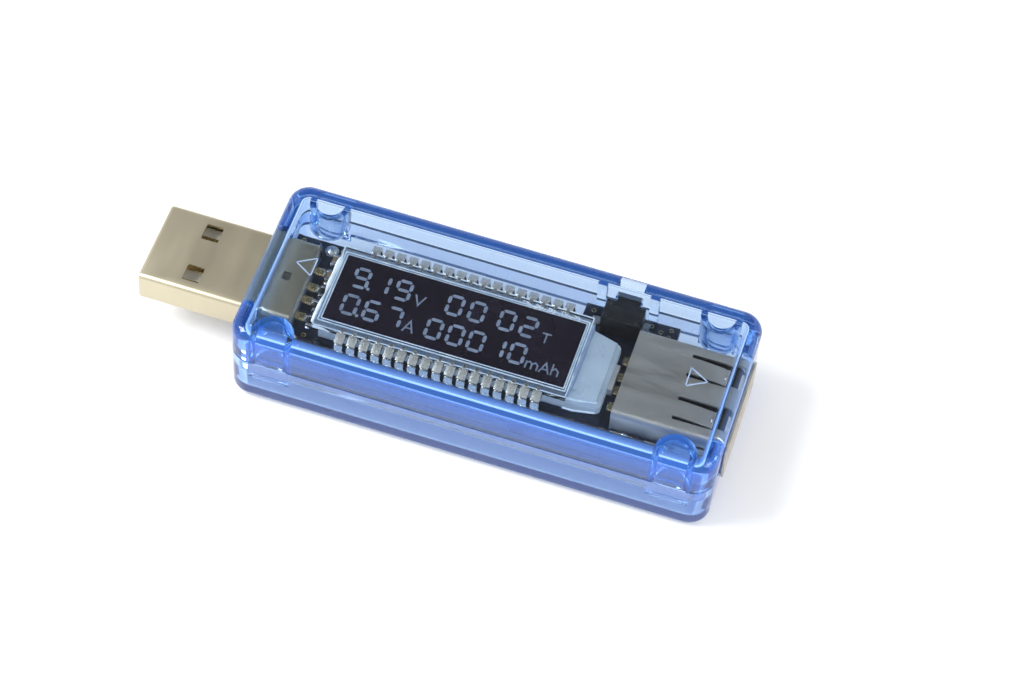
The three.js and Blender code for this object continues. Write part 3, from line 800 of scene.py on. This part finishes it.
def circuit_board():
    """The board with a notch for each connector and a lobe for the button's switch."""
    plug_notch = plug_high.y + OPENING
    socket_notch = SOCKET_HALF[0] + OPENING
    left, right = board_low.x, board_high.x
    lobe_left, lobe_right = BUTTON_LOBE
    outline = [
        (left, -BOARD_SIDE), (right, -BOARD_SIDE), (right, -socket_notch), (SOCKET_STOP, -socket_notch),
        (SOCKET_STOP, socket_notch), (right, socket_notch), (right, BOARD_SIDE), (lobe_right, BOARD_SIDE),
        (lobe_right, board_high.y), (lobe_left, board_high.y), (lobe_left, BOARD_SIDE), (left, BOARD_SIDE),
        (left, plug_notch), (PLUG_STOP, plug_notch), (PLUG_STOP, -plug_notch), (left, -plug_notch),
    ]
    bm = bmesh.new()
    plate(bm, outline, board_low.z, board_high.z - board_low.z, 0.06)
    build("printed_board", bm, "board", replaces=["circuit_board"])


def pads(name, look, places):
    """Rounded flat pads on the board's top: each (x, y, length, width, corner)."""
    bm = bmesh.new()
    for x, y, length, width, corner in places:
        ring = rectangle(x - length / 2, x + length / 2, y - width / 2, y + width / 2, corner, 3)
        plate(bm, ring, BOARD_TOP, PAD_HEIGHT)
    build(name, bm, look)


def mounds(name, look, places, height):
    """Solder mounds on the board's top: each (x, y, radius), their height in parts of the radius."""
    bm = bmesh.new()
    for x, y, radius in places:
        dome(bm, (x, y, BOARD_TOP), radius, height * radius)
    build(name, bm, look)


def via_rings():
    """Plated holes scattered in the open parts of the board."""
    bm = bmesh.new()
    section = ((VIA_OUTER, 0), (VIA_OUTER, VIA_HEIGHT), (VIA_INNER, VIA_HEIGHT), (VIA_INNER, 0))
    for x, y in PLUG_SIDE_VIAS + SOCKET_SIDE_VIAS:
        loft(bm, [flat(circle(x, y, radius, 16), BOARD_TOP + z) for radius, z in section], True)
    build("plated_holes", bm, "gold")


def board_metal():
    """Tinned pads and mounds of solder in the open parts of the board's top."""
    pads("plug_pads", "solder", [(-23.9, y, 1.5, 1.1, 0.2) for y in CONTACT_ROWS])
    pads("socket_pads", "solder", [(15.4, y, 0.8, 1.2, 0.2) for y in CONTACT_ROWS])
    pads("test_pads", "pin", [
        (-23.75, 6.95, 1.7, 1.7, 0.8), (18.4, 7.5, 1.6, 0.9, 0.3), (16.3, 9.4, 0.9, 0.9, 0.2),
        (10.1, 8.2, 1, 1.2, 0.2), (21.5, -7.5, 1.5, 0.8, 0.3), (17.2, -7.5, 1.5, 0.8, 0.3),
    ])
    joints = [(-23.75, y, 0.5) for y in CONTACT_ROWS]
    joints += [(-23.75, 6.95, 0.8), (-24.2, -6.9, 0.75)]
    joints += [(-22.9, y, 0.38) for y in (-4.6, -2.2, 0.1, 2.2, 4.8)]
    mounds("plug_solder", "solder", joints, 0.5)
    mounds("shell_solder", "solder", [(x, side * 7.35, 0.65) for x in (18.2, 22.6) for side in SIDES], 0.9)


# ---- Plug and socket -------------------------------------------------------------------------

PLUG_TIP = plug_low.x
PLUG_REAR = plug_high.x
PLUG_RADIUS = 0.65
WINDOW_START = PLUG_TIP + 5.2
WINDOW_SIZE = (2.2, 2.4)
WINDOW_Y = 3.3
LOCK_HOLE = (PLUG_REAR - 2.9, PLUG_REAR - 1.9, -0.6, 0.6)
PLUG_TONGUE_TOP = 6.6
SOCKET_RADIUS = 0.75
FINGER_START = 23.3
FINGER_END = 29.2
FINGER_SIDES = (1.8, 4.7)
FINGER_DIP = 0.55
SLIT = 0.5
SIDE_SLIT = 0.9
DIMPLE_X = 28.2
DIMPLE_RADIUS = 0.5
SOCKET_TONGUE = (5.55, 0.1, 1.9)


def sleeve(bm, half, z, radius, profile):
    """A metal sleeve: a rounded section of the given half sizes, grown at each (x, growth)."""
    rings = []
    for x, grow in profile:
        width, height = half[0] + grow, half[1] + grow
        ring = rectangle(-width, width, z - height, z + height, max(radius + grow, 0.12), 6)
        rings.append(upright(ring, x))
    loft(bm, rings, True)


def plug_holes(bm):
    """Two latch windows through the top and bottom of the plug's shell, and a lock hole at its rear."""
    length, width = WINDOW_SIZE
    for side in SIDES:
        y = side * WINDOW_Y
        ring = rectangle(WINDOW_START, WINDOW_START + length, y - width / 2, y + width / 2, 0.18, 3)
        plate(bm, ring, plug_low.z - 1, 6.5)
    plate(bm, rectangle(*LOCK_HOLE, 0.12, 3), PLUG_Z, 4)


def plug_sleeve():
    """The plug's shell, rounded at its tip, with the seam of its rolled sheet underneath."""
    profile = [
        (PLUG_REAR, 0), (PLUG_TIP + 0.35, 0), (PLUG_TIP + 0.12, -0.05), (PLUG_TIP, -0.16),
        (PLUG_TIP, -0.26), (PLUG_TIP + 0.1, -SHEET - 0.02), (PLUG_TIP + 0.4, -SHEET), (PLUG_REAR, -SHEET),
    ]
    shell = work_mesh(sleeve, PLUG_HALF, PLUG_Z, PLUG_RADIUS, profile)
    seam_low = (PLUG_TIP - 1, -0.05, plug_low.z - 0.1)
    seam = work_mesh(brick, seam_low, (PLUG_REAR + 1, 0.05, plug_low.z + 0.12), 0.02, 1)
    mesh = combine(shell, ("DIFFERENCE", work_mesh(plug_holes)), ("DIFFERENCE", seam))
    place("plug_sleeve", mesh, "nickel", ["plug_shell"], angle=40)


def plug_tunnels(bm, low, high):
    """A tunnel for each contact through the plug's rear block."""
    for y in CONTACT_ROWS:
        brick(bm, (low, y - 0.6, PLUG_TONGUE_TOP), (high, y + 0.6, PLUG_TONGUE_TOP + 0.4), 0.05, 1)


def plug_tongue():
    """The plug's white insulator: a tongue with a rear block, and a pit under the lock hole."""
    low, high = span("plug_insulator")
    top = PLUG_TONGUE_TOP
    tongue = work_mesh(brick, low, (high.x, high.y, top), 0.15, 3)
    block = work_mesh(brick, (high.x - 4.5, low.y, top - 0.5), high, 0.15, 3)
    tunnels = work_mesh(plug_tunnels, high.x - 5, high.x + 1)
    pit = work_mesh(brick, (high.x - 3, -0.65, top + 0.3), (high.x - 1.8, 0.65, high.z + 1), 0.1, 1)
    mesh = combine(tongue, ("UNION", block), ("DIFFERENCE", tunnels), ("DIFFERENCE", pit))
    place("plug_tongue", mesh, "white", ["plug_insulator"], angle=40)


def plug_contacts():
    """Flat contacts with a rounded nose at the tip."""
    for index in range(1, 5):
        node = f"plug_contact_{index}"
        low, high = span(node)
        middle = (low.z + high.z) / 2
        line = fillet([(low.x, low.z - 0.12), (low.x + 0.35, middle), (high.x, middle)], 0.2)
        bm = bmesh.new()
        prism(bm, across(ribbon(line, high.z - low.z), low.y), Vector((0, high.y - low.y, 0)), 0.06)
        build(f"plug_strip_{index}", bm, "gold", replaces=[node])


def finger(bm, y0, y1, z, way):
    """A spring finger in the top or bottom of the socket's shell, dipping to a dimple near its end."""
    start, end = FINGER_START - 0.2, FINGER_END - SLIT
    count = 28
    line = []
    for step in range(count + 1):
        part = step / count
        dip = FINGER_DIP * max(0.0, (part - 0.12) / 0.88) ** 1.6
        tip = 0.25 * max(0.0, (part - 0.86) / 0.14) ** 2
        line.append((start + (end - start) * part, z - way * (SHEET / 2 + dip - tip)))
    prism(bm, across(ribbon(line, SHEET - 0.02), y0), Vector((0, y1 - y0, 0)), 0.05)


def fingers(bm):
    """The four spring fingers, two in the top and two in the bottom."""
    for side in SIDES:
        y0, y1 = sorted(side * y for y in FINGER_SIDES)
        for way in SIDES:
            finger(bm, y0 + SLIT / 2, y1 - SLIT / 2, SOCKET_Z + way * SOCKET_HALF[1], way)


def finger_dimples(bm):
    """A pressed dimple near the end of each top and bottom finger."""
    for side in SIDES:
        for way in SIDES:
            middle = side * sum(FINGER_SIDES) / 2
            centre = Vector((DIMPLE_X, middle, SOCKET_Z + way * (SOCKET_HALF[1] - 0.62)))
            made = bmesh.ops.create_uvsphere(bm, u_segments=20, v_segments=12, radius=DIMPLE_RADIUS * MM)
            for vert in made["verts"]:
                vert.co = Vector((vert.co.x, vert.co.y, vert.co.z * 0.7)) + centre * MM


def finger_windows(bm):
    """The openings that the fingers are bent out of."""
    for side in SIDES:
        y0, y1 = sorted(side * y for y in FINGER_SIDES)
        ring = rectangle(FINGER_START, FINGER_END, y0 - SLIT / 2, y1 + SLIT / 2, 0.15, 3)
        plate(bm, ring, SOCKET_Z - 4, 8)


def side_slits(bm):
    """Two slits along each side of the socket's shell."""
    for side in SIDES:
        z = SOCKET_Z + side * SIDE_SLIT
        brick(bm, (FINGER_START, -8, z - SLIT / 2), (FINGER_END, 8, z + SLIT / 2), 0.05, 1)


def socket_sleeve():
    """The socket's shell: a rounded tube with a flared rim, four spring fingers and side slits."""
    rear, mouth = socket_low.x, socket_high.x
    profile = [
        (rear, 0), (mouth - 0.62, 0), (mouth - 0.45, 0.05), (mouth - 0.36, 0.2), (mouth - 0.34, 0.42),
        (mouth - 0.3, 0.5), (mouth - 0.04, 0.5), (mouth, 0.44), (mouth, 0.12), (mouth - 0.08, -0.08),
        (mouth - 0.24, -0.22), (mouth - 0.5, -SHEET), (rear, -SHEET),
    ]
    shell = work_mesh(sleeve, SOCKET_HALF, SOCKET_Z, SOCKET_RADIUS, profile)
    cuts = [("DIFFERENCE", work_mesh(maker)) for maker in (finger_windows, side_slits)]
    added = [("UNION", work_mesh(maker)) for maker in (fingers, finger_dimples)]
    place("socket_sleeve", combine(shell, *cuts, *added), "tin", ["socket_shell"], angle=40)


def socket_tongue():
    """The socket's black insulator: a tongue on a rear block."""
    low, high = span("socket_insulator")
    side, foot, head = SOCKET_TONGUE
    tongue = work_mesh(brick, (low.x, -side, SOCKET_Z + foot), (high.x, side, SOCKET_Z + head), 0.2, 3)
    block = work_mesh(brick, low, (low.x + 4.2, high.y, high.z), 0.2, 3)
    place("socket_tongue", combine(tongue, ("UNION", block)), "black", ["socket_insulator"])


# ---- Display ---------------------------------------------------------------------------------

FILM = ((-20.95, -4.95), (9.75, 4.95))
# Bands as (left end, right end, half width) outside and inside; the glass edges' painted glow lines with drop
# and height
SEAL_BAND = ((-21.75, 10.3, 6.1), (-20.75, 9.6, 4.8))
EDGE_GLOW_BANDS = (
    ((-21.45, 10.15, 5.45), (-21.3, 10.0, 5.3), 0.16, 0.05),
    ((-21.1, 9.9, 5.08), (-20.98, 9.78, 4.97), 0.16, 0.08),
    ((-21.84, 10.44, 6.24), (-21.7, 10.3, 6.1), 0.17, 0.05),
)
INK_FOOT = film_high.z + 0.005
INK_HEIGHT = 0.015
DIGIT_HEIGHT = 3.15
DIGIT_WIDTH = 2.15
BAR = 0.44
BAR_GAP = 0.09
POINT = (-17.25, -16.85, 0.1, 0.5)
STROKE = 0.2
BARS = {"0": "abcdef", "1": "bc", "2": "abged", "6": "afgecd", "7": "abc", "9": "abfgcd"}
ROWS = {
    "reading_top": (0.5, (
        ("9", -19.35), ("1", -16.75), ("9", -13.95), ("0", -7.3), ("0", -4.45), ("0", -0.65), ("2", 2.15),
    )),
    "reading_bottom": (-3.7, (
        ("0", -19.4), ("6", -16.6), ("7", -13.8), ("0", -8.65), ("0", -5.9), ("0", -3.25), ("1", -0.65),
        ("0", 2.0),
    )),
}
# Strokes in parts of a unit letter's width and height
LETTERS = {
    "V": (((0, 1), (0.5, 0), (1, 1)),),
    "T": (((0, 1), (1, 1)), ((0.5, 0.92), (0.5, 0))),
    "A": (((0, 0), (0.5, 1), (1, 0)), ((0.22, 0.36), (0.78, 0.36))),
    "m": (
        ((0, 0), (0, 0.7)), ((0, 0.5), (0.25, 0.68), (0.5, 0.5), (0.5, 0)),
        ((0.5, 0.5), (0.75, 0.68), (1, 0.5), (1, 0)),
    ),
    "h": (((0, 0), (0, 1.05)), ((0, 0.45), (0.5, 0.68), (1, 0.45), (1, 0))),
}
# Each letter's left edge, foot, width and height
UNITS = (
    ("V", -11.2, 0.55, 1.3, 1.5), ("T", 5.1, 0.45, 1.15, 1.4), ("A", -11.2, -3.65, 1.3, 1.7),
    ("m", 4.5, -3.8, 1.45, 1.6), ("A", 6.25, -3.8, 1.2, 1.5), ("h", 7.75, -3.8, 0.8, 1.6),
)


def bar_outline(start, end):
    """A seven-segment bar between two points, with pointed ends."""
    flow = (end - start).normalized()
    side = Vector((-flow.y, flow.x)) * (BAR / 2)
    start = start + flow * BAR_GAP
    end = end - flow * BAR_GAP
    nose = flow * (BAR / 2)
    points = [start, start + nose - side, end - nose - side, end, end - nose + side, start + nose + side]
    return [(point.x, point.y) for point in points]


def digit(bm, character, left, bottom):
    """One seven-segment digit as thin bars on the film."""
    x0, x1 = left + BAR / 2, left + DIGIT_WIDTH - BAR / 2
    y0, y2 = bottom + BAR / 2, bottom + DIGIT_HEIGHT - BAR / 2
    y1 = (y0 + y2) / 2
    ends = {
        "a": ((x0, y2), (x1, y2)), "b": ((x1, y2), (x1, y1)), "c": ((x1, y1), (x1, y0)),
        "d": ((x0, y0), (x1, y0)), "e": ((x0, y1), (x0, y0)), "f": ((x0, y2), (x0, y1)),
        "g": ((x0, y1), (x1, y1)),
    }
    for key in BARS[character]:
        start, end = (Vector(point) for point in ends[key])
        plate(bm, bar_outline(start, end), INK_FOOT, INK_HEIGHT)


def reading():
    """Two rows of digits, each with a decimal point, and their unit letters."""
    for name, (bottom, row) in ROWS.items():
        bm = bmesh.new()
        for character, left in row:
            digit(bm, character, left, bottom)
        left, right, low, high = POINT
        plate(bm, rectangle(left, right, bottom + low, bottom + high, 0.1, 2), INK_FOOT, INK_HEIGHT)
        build(name, bm, "segment")
    bm = bmesh.new()
    for letter, left, bottom, width, height in UNITS:
        for points in LETTERS[letter]:
            line = [(left + x * width, bottom + y * height) for x, y in points]
            plate(bm, ribbon(line, STROKE), INK_FOOT, INK_HEIGHT)
    build("reading_units", bm, "segment")


def frame_band(bm, outer, inner, low, height):
    """A flat rectangular band; outer and inner give (left end, right end, half width)."""
    section = ((outer, low), (outer, low + height), (inner, low + height), (inner, low))
    loft(bm, [flat(rectangle(x0, x1, -side, side, 0.15, 3), z) for (x0, x1, side), z in section], True)


def display():
    """Film, two glasses, the seal between them in a painted glow, and painted glow lines on the ground edges
    of the glass.
    """
    film = bmesh.new()
    corner_low, corner_high = FILM
    brick(film, (*corner_low, film_low.z + 0.02), (*corner_high, film_high.z), 0.03, 1)
    build("display_film_plate", film, "film", replaces=["front_polarizer"])
    glasses = (("front_glass", "display_front_glass", 0), ("rear_glass", "display_rear_glass", 0.05))
    for name, node, trim in glasses:
        low, high = span(node)
        bm = bmesh.new()
        brick(bm, low, (high.x, high.y, high.z - trim), 0.08)
        build(name, bm, "glass", replaces=[node])
    seal = bmesh.new()
    # The seal band carries a painted glow
    frame_band(seal, *SEAL_BAND, rear_glass_high.z - 0.045, 0.04)
    build("display_seal", seal, "seal")
    lines = bmesh.new()
    # Thin lines of painted glow on the glass edges
    for outer, inner, drop, height in EDGE_GLOW_BANDS:
        frame_band(lines, outer, inner, film_high.z - drop, height)
    build("glass_edge_glow_lines", lines, "edge")


def wavy_bead(name, look, start, end, radius, wobble, seed, squash):
    """An uneven bead of glue between two points."""
    count, around = 60, 12
    start, end = Vector(start), Vector(end)
    line = end - start
    side = Vector((-line.y, line.x, 0)).normalized()
    rings = []
    for step in range(count + 1):
        part = step / count
        wave = math.sin(seed + part * 9) * 0.6 + math.sin(seed * 2 + part * 21) * 0.4
        taper = min(1.0, 0.3 + 8 * min(part, 1 - part))
        reach = radius * (1 + wobble * wave) * taper
        centre = start + line * part + side * (wave * wobble * radius * 0.4)
        rings.append([
            centre + side * (reach * u) + Vector((0, 0, reach * squash * v))
            for u, v in circle(0, 0, 1, around)
        ])
    bm = bmesh.new()
    loft(bm, rings)
    build(name, bm, look, angle=60)


def display_glue():
    """A bead along the display's left end with a bright painted highlight and a duller one along its right
    end with a painted glow.
    """
    wavy_bead("end_seal", "bright", (-22.0, -5.6, 9.2), (-21.75, 5.4, 9.2), 0.24, 0.5, 1.3, 1.3)
    wavy_bead("edge_seal", "seal", (10.45, -5.6, 9.25), (10.6, 5.6, 9.25), 0.36, 0.2, 4.1, 1.2)


def light_guide():
    """The light guide, its end past the display stepped and narrowed towards the lamp, with two painted
    highlight lines along its near side.
    """
    side = guide_high.y
    end = guide_high.x
    glass_end = glass_high.x
    outline = [
        (guide_low.x, -side), (glass_end + 0.3, -side), (end - 0.3, -side + 0.25), (end, -side + 0.6),
        (end, side - 1.3), (end - 0.25, side - 0.9), (glass_end + 0.6, side), (guide_low.x, side),
    ]
    bm = bmesh.new()
    plate(bm, outline, guide_low.z, guide_high.z - guide_low.z, 0.12)
    build("light_guide_block", bm, "guide", replaces=["light_guide"])
    collar = [
        (glass_end - 0.1, -side + 0.1), (end - 0.5, -side + 0.55), (end - 0.5, side - 1.2),
        (glass_end - 0.1, side - 0.2),
    ]
    top = bmesh.new()
    plate(top, collar, guide_high.z + 0.01, 0.9, 0.25)
    build("light_guide_collar", top, "guide")
    # Two thin lines that glow as painted highlights on the guide's near edges
    lines = bmesh.new()
    for y, z in ((-side - 0.05, guide_high.z + 0.75), (-side - 0.75, guide_high.z - 0.3)):
        line = [(glass_end - 0.3, y), (glass_end + 1, y), (end - 0.4, y + 0.5)]
        plate(lines, ribbon(line, 0.22), z, 0.12)
    build("guide_highlight_lines", lines, "edge")


# ---- Display pins ----------------------------------------------------------------------------

PIN_COUNT = 17
PIN_PITCH = 1.56
FIRST_PIN = -17.95
PIN_WIDTH = 1.12
PIN_SHEET = 0.2
HOOK_SHEET = 0.12
PIN_BEND = 7.5
PIN_FOOT = 7.9


def pin_parts():
    """One pin's shoulder, neck, foot and glass hook across and up, each (line, width, thickness)."""
    edge = glass_high.y + 0.13
    under = glass_low.z - 0.14
    top = glass_high.z
    shoulder = [(edge - 0.5, under), (edge, under), (edge + 0.02, top - 0.02), (PIN_BEND + 0.12, top - 0.4)]
    neck = [(PIN_BEND, top - 0.4), (PIN_BEND - 0.15, top - 0.65), (PIN_BEND, top - 1.1)]
    foot = [(PIN_BEND, top - 0.85), (PIN_FOOT, BOARD_TOP + 0.7), (PIN_FOOT, BOARD_TOP)]
    hook = [
        (glass_high.y - 0.45, top + 0.08), (glass_high.y + 0.1, top + 0.08), (glass_high.y + 0.2, top - 0.04),
    ]
    return [
        (fillet(shoulder, 0.12, 3), PIN_WIDTH, PIN_SHEET),
        (neck, PIN_WIDTH * 0.8, PIN_SHEET),
        (fillet(foot, 0.12, 3), PIN_WIDTH * 0.95, PIN_SHEET),
        (fillet(hook, 0.15, 3), PIN_WIDTH * 0.4, HOOK_SHEET),
    ]


def pin_row(name, side, node):
    """A row of bent pins, each with a hook that grips the top of the glass."""
    bm = bmesh.new()
    for index in range(PIN_COUNT):
        x = FIRST_PIN + index * PIN_PITCH
        for line, width, thickness in pin_parts():
            outline = [(side * y, z) for y, z in ribbon(line, thickness)]
            prism(bm, upright(outline, x - width / 2), Vector((width, 0, 0)), 0.04)
    build(name, bm, "pin", replaces=[node], angle=50)


def pin_solder():
    """A fillet of solder at every pin's foot."""
    for name, side in (("solder_near", -1), ("solder_far", 1)):
        places = [(FIRST_PIN + i * PIN_PITCH, side * (PIN_FOOT - 0.1), 0.52) for i in range(PIN_COUNT)]
        mounds(name, "solder", places, 0.8)


# ---- Reset switch ----------------------------------------------------------------------------

FRONT_WALL = 0.7
BORE_HALF = (1.6, 0.85)
CHAMBER_HALF = (2.05, 1.2)
STEM_HALF = (1.45, 0.7)
RIVET_X = 2.0
RIVET_INSET = 0.55


def switch():
    """The switch's hollow body with a bore for the button, and four rivets in its lid."""
    back, front = switch_low.y, switch_high.y
    body = work_mesh(brick, switch_low, (switch_high.x, front - FRONT_WALL, switch_high.z), 0.12)
    wall = work_mesh(brick, (switch_low.x, front - 0.8, switch_low.z), switch_high, 0.1)
    bore_x, bore_z = BORE_HALF
    bore = work_mesh(
        brick, (BUTTON_X - bore_x, front - 1.6, BUTTON_Z - bore_z),
        (BUTTON_X + bore_x, front + 1, BUTTON_Z + bore_z), 0.05, 1,
    )
    room_x, room_z = CHAMBER_HALF
    chamber = work_mesh(
        brick, (BUTTON_X - room_x, back + 0.8, BUTTON_Z - room_z),
        (BUTTON_X + room_x, front - FRONT_WALL, BUTTON_Z + room_z), 0.05, 1,
    )
    mesh = combine(body, ("UNION", wall), ("DIFFERENCE", chamber), ("DIFFERENCE", bore))
    place("switch_body", mesh, "black", ["switch_housing"], angle=40)
    rivets = bmesh.new()
    for side in SIDES:
        for y in (back + RIVET_INSET, front - RIVET_INSET):
            dome(rivets, (BUTTON_X + side * RIVET_X, y, switch_high.z - 0.01), 0.3, 0.14)
    build("switch_rivets", rivets, "black")


def button():
    """The plunger: a rounded stem with an inner flange that keeps it in its switch."""
    half_x, half_z = STEM_HALF
    stem = work_mesh(
        brick, (BUTTON_X - half_x, button_low.y + 0.05, BUTTON_Z - half_z),
        (BUTTON_X + half_x, button_high.y, BUTTON_Z + half_z), 0.18, 3,
    )
    flange = work_mesh(brick, button_low, (button_high.x, button_low.y + 0.6, button_high.z), 0.06, 1)
    mesh = combine(stem, ("UNION", flange))
    place("button_stem", mesh, "black", ["reset_button"], body=BUTTON, angle=40)


# ---- Small parts -----------------------------------------------------------------------------

TOP_PARTS = {
    "input_capacitor": "tan",
    "filter_capacitor": "tan",
    "sense_resistor_1": "chip",
    "sense_resistor_2": "chip",
    "sense_resistor_3": "chip",
    "shunt_resistor": "chip",
}
# Chips under the board: leads on a side, half the body's width, and height
UNDER_CHIPS = {
    "meter_chip": (12, 3.7, 2.1),
    "memory_chip": (4, 1.95, 1.5),
    "voltage_regulator": (3, 0.8, 1.1),
}


def chip_part(node, look):
    """A chip part along Y: its body and its two tinned end caps."""
    low, high = span(node)
    cap = (high.y - low.y) / 4.5
    inset = Vector((0.05, cap / 2, 0.05))
    body = bmesh.new()
    brick(body, low + inset, high - inset, 0.04)
    build(f"{node}_body", body, look, replaces=[node])
    ends = bmesh.new()
    brick(ends, low, (high.x, low.y + cap, high.z), 0.07)
    brick(ends, (low.x, high.y - cap, low.z), high, 0.07)
    build(f"{node}_ends", ends, "solder")


def under_chip(node, leads, half_width, height):
    """A moulded chip under the board with a row of gull-wing leads down each long side."""
    low, high = span(node)
    x, y = (low.x + high.x) / 2, (low.y + high.y) / 2
    top = board_low.z
    bm = bmesh.new()
    brick(bm, (low.x, y - half_width, low.z), (high.x, y + half_width, top - 0.15), 0.12)
    build(f"{node}_body", bm, "chip", replaces=[node])
    pitch = (high.x - low.x) / (leads + 0.2)
    line = fillet([
        (half_width - 0.2, top - height / 2), (half_width + 0.4, top - height / 2),
        (half_width + 0.5, top - 0.12), (half_width + 1, top - 0.12),
    ], 0.12, 2)
    metal_leads = bmesh.new()
    for index in range(leads):
        lead_x = x + (index - (leads - 1) / 2) * pitch
        for side in SIDES:
            outline = [(y + side * v, z) for v, z in ribbon(line, 0.2)]
            prism(metal_leads, upright(outline, lead_x - pitch / 4), Vector((pitch / 2, 0, 0)), 0.03)
    build(f"{node}_leads", metal_leads, "pin")


def resin_drop():
    """A smooth drop of black resin over a bonded chip."""
    low, high = span("resin_blob")
    bm = bmesh.new()
    centre = ((low.x + high.x) / 2, (low.y + high.y) / 2, low.z)
    dome(bm, centre, (high.x - low.x) / 2, high.z - low.z, 8, 28)
    build("resin_drop", bm, "chip", replaces=["resin_blob"], angle=60)


def small_parts():
    """Every chip, resistor and capacitor on the board."""
    for node, look in TOP_PARTS.items():
        chip_part(node, look)
    for node, sizes in UNDER_CHIPS.items():
        under_chip(node, *sizes)
    resin_drop()


upper_shell()
lower_shell()
arrow_marks()
circuit_board()
via_rings()
board_metal()
plug_sleeve()
plug_tongue()
plug_contacts()
socket_sleeve()
socket_tongue()
display()
reading()
display_glue()
light_guide()
pin_row("near_pins", -1, "near_pin_row")
pin_row("far_pins", 1, "far_pin_row")
pin_solder()
switch()
button()
small_parts()

# ---- Stage, light and camera, in metres ------------------------------------------------------

FLOOR_SIZE = 2.0
FLOOR_DROP = -0.15 * MM
ROOM_LIGHT = 0.75
ROOM_DIM = 0.1
DIM_TOWARDS = (-0.13, 0.566, 0.814)
DIM_FROM = 0.9
DIM_TO = 0.98
# Each soft light's place, size and power
LIGHTS = {
    "key": ((-0.42, -0.12, 0.48), 0.3, 3.4),
    "fill": ((0.5, -0.1, 0.42), 0.35, 1.2),
}
CAMERA_TURN = (12.92, 54.5, 5.71)
CAMERA_DISTANCE = 387.9 * MM
CAMERA_SHIFT = (2.275 * MM, 5.417 * MM)
LENS = 109.6
SENSOR = 36.0


def floor():
    """A plain pale floor just under the case, slightly lit from below like a light table."""
    mesh = bpy.data.meshes.new("floor")
    corners = [(x * FLOOR_SIZE, y * FLOOR_SIZE, FLOOR_DROP) for x, y in ((-1, -1), (1, -1), (1, 1), (-1, 1))]
    mesh.from_pydata(corners, [], [(0, 1, 2, 3)])
    made, tree, shader, _ = material(
        "floor_paper", Roughness=0.7, Emission_Strength=0.2, Emission_Color=WHITE_LIGHT,
    )
    colour(tree, shader, drift(tree, noise(tree, 30, 4), (0.86, 0.86, 0.865), (0.89, 0.89, 0.895)))
    mesh.materials.append(made)
    plane = bpy.data.objects.new("floor", mesh)
    bpy.context.scene.collection.objects.link(plane)


def area_light(name, place, size, power):
    """A square soft light at a place, turned to the middle of the scene."""
    light = bpy.data.lights.new(name, "AREA")
    light.shape = "SQUARE"
    light.size = size
    light.energy = power
    made = bpy.data.objects.new(name, light)
    made.location = place
    made.rotation_euler = (-Vector(place)).to_track_quat("-Z", "Y").to_euler()
    bpy.context.scene.collection.objects.link(made)


def room():
    """A white room, dimmer high on the far side, so that the roof doesn't mirror it."""
    world = bpy.data.worlds.new("studio")
    world.use_nodes = True
    tree = world.node_tree
    ground = next(n for n in tree.nodes if n.type == "BACKGROUND")
    direction = tree.nodes.new("ShaderNodeTexCoord")
    toward = tree.nodes.new("ShaderNodeVectorMath")
    toward.operation = "DOT_PRODUCT"
    toward.inputs[1].default_value = Vector(DIM_TOWARDS).normalized()
    tree.links.new(direction.outputs["Generated"], toward.inputs[0])
    fade = tree.nodes.new("ShaderNodeMapRange")
    fade.interpolation_type = "SMOOTHSTEP"
    for socket, value in (
        ("From Min", DIM_FROM), ("From Max", DIM_TO), ("To Min", ROOM_LIGHT), ("To Max", ROOM_DIM),
    ):
        fade.inputs[socket].default_value = value
    tree.links.new(toward.outputs["Value"], fade.inputs["Value"])
    tree.links.new(fade.outputs["Result"], ground.inputs["Strength"])
    ground.inputs["Color"].default_value = WHITE_LIGHT
    bpy.context.scene.world = world


def camera():
    """A long lens, high over the near side, a little to the right and rolled a little."""
    azimuth, elevation, roll = (math.radians(angle) for angle in CAMERA_TURN)
    shift_right, shift_up = CAMERA_SHIFT
    side = Vector((math.cos(azimuth), math.sin(azimuth), 0))
    away = Vector((math.sin(azimuth), -math.cos(azimuth), 0))
    back = away * math.cos(elevation) + Vector((0, 0, math.sin(elevation)))
    up = back.cross(side)
    right = side * math.cos(roll) + up * math.sin(roll)
    over = up * math.cos(roll) - side * math.sin(roll)
    data = bpy.data.cameras.new("camera")
    data.lens = LENS
    data.sensor_width = SENSOR
    data.clip_start = 0.01
    data.clip_end = 20
    made = bpy.data.objects.new("camera", data)
    turn = Matrix((right, over, back)).transposed().to_4x4()
    place = back * CAMERA_DISTANCE + right * shift_right + over * shift_up
    made.matrix_world = Matrix.Translation(place) @ turn
    bpy.context.scene.collection.objects.link(made)
    bpy.context.scene.camera = made


floor()
room()
for name, (place_in_room, size, power) in LIGHTS.items():
    area_light(name, place_in_room, size, power)
camera()
bpy.context.scene.view_settings.view_transform = "Standard"
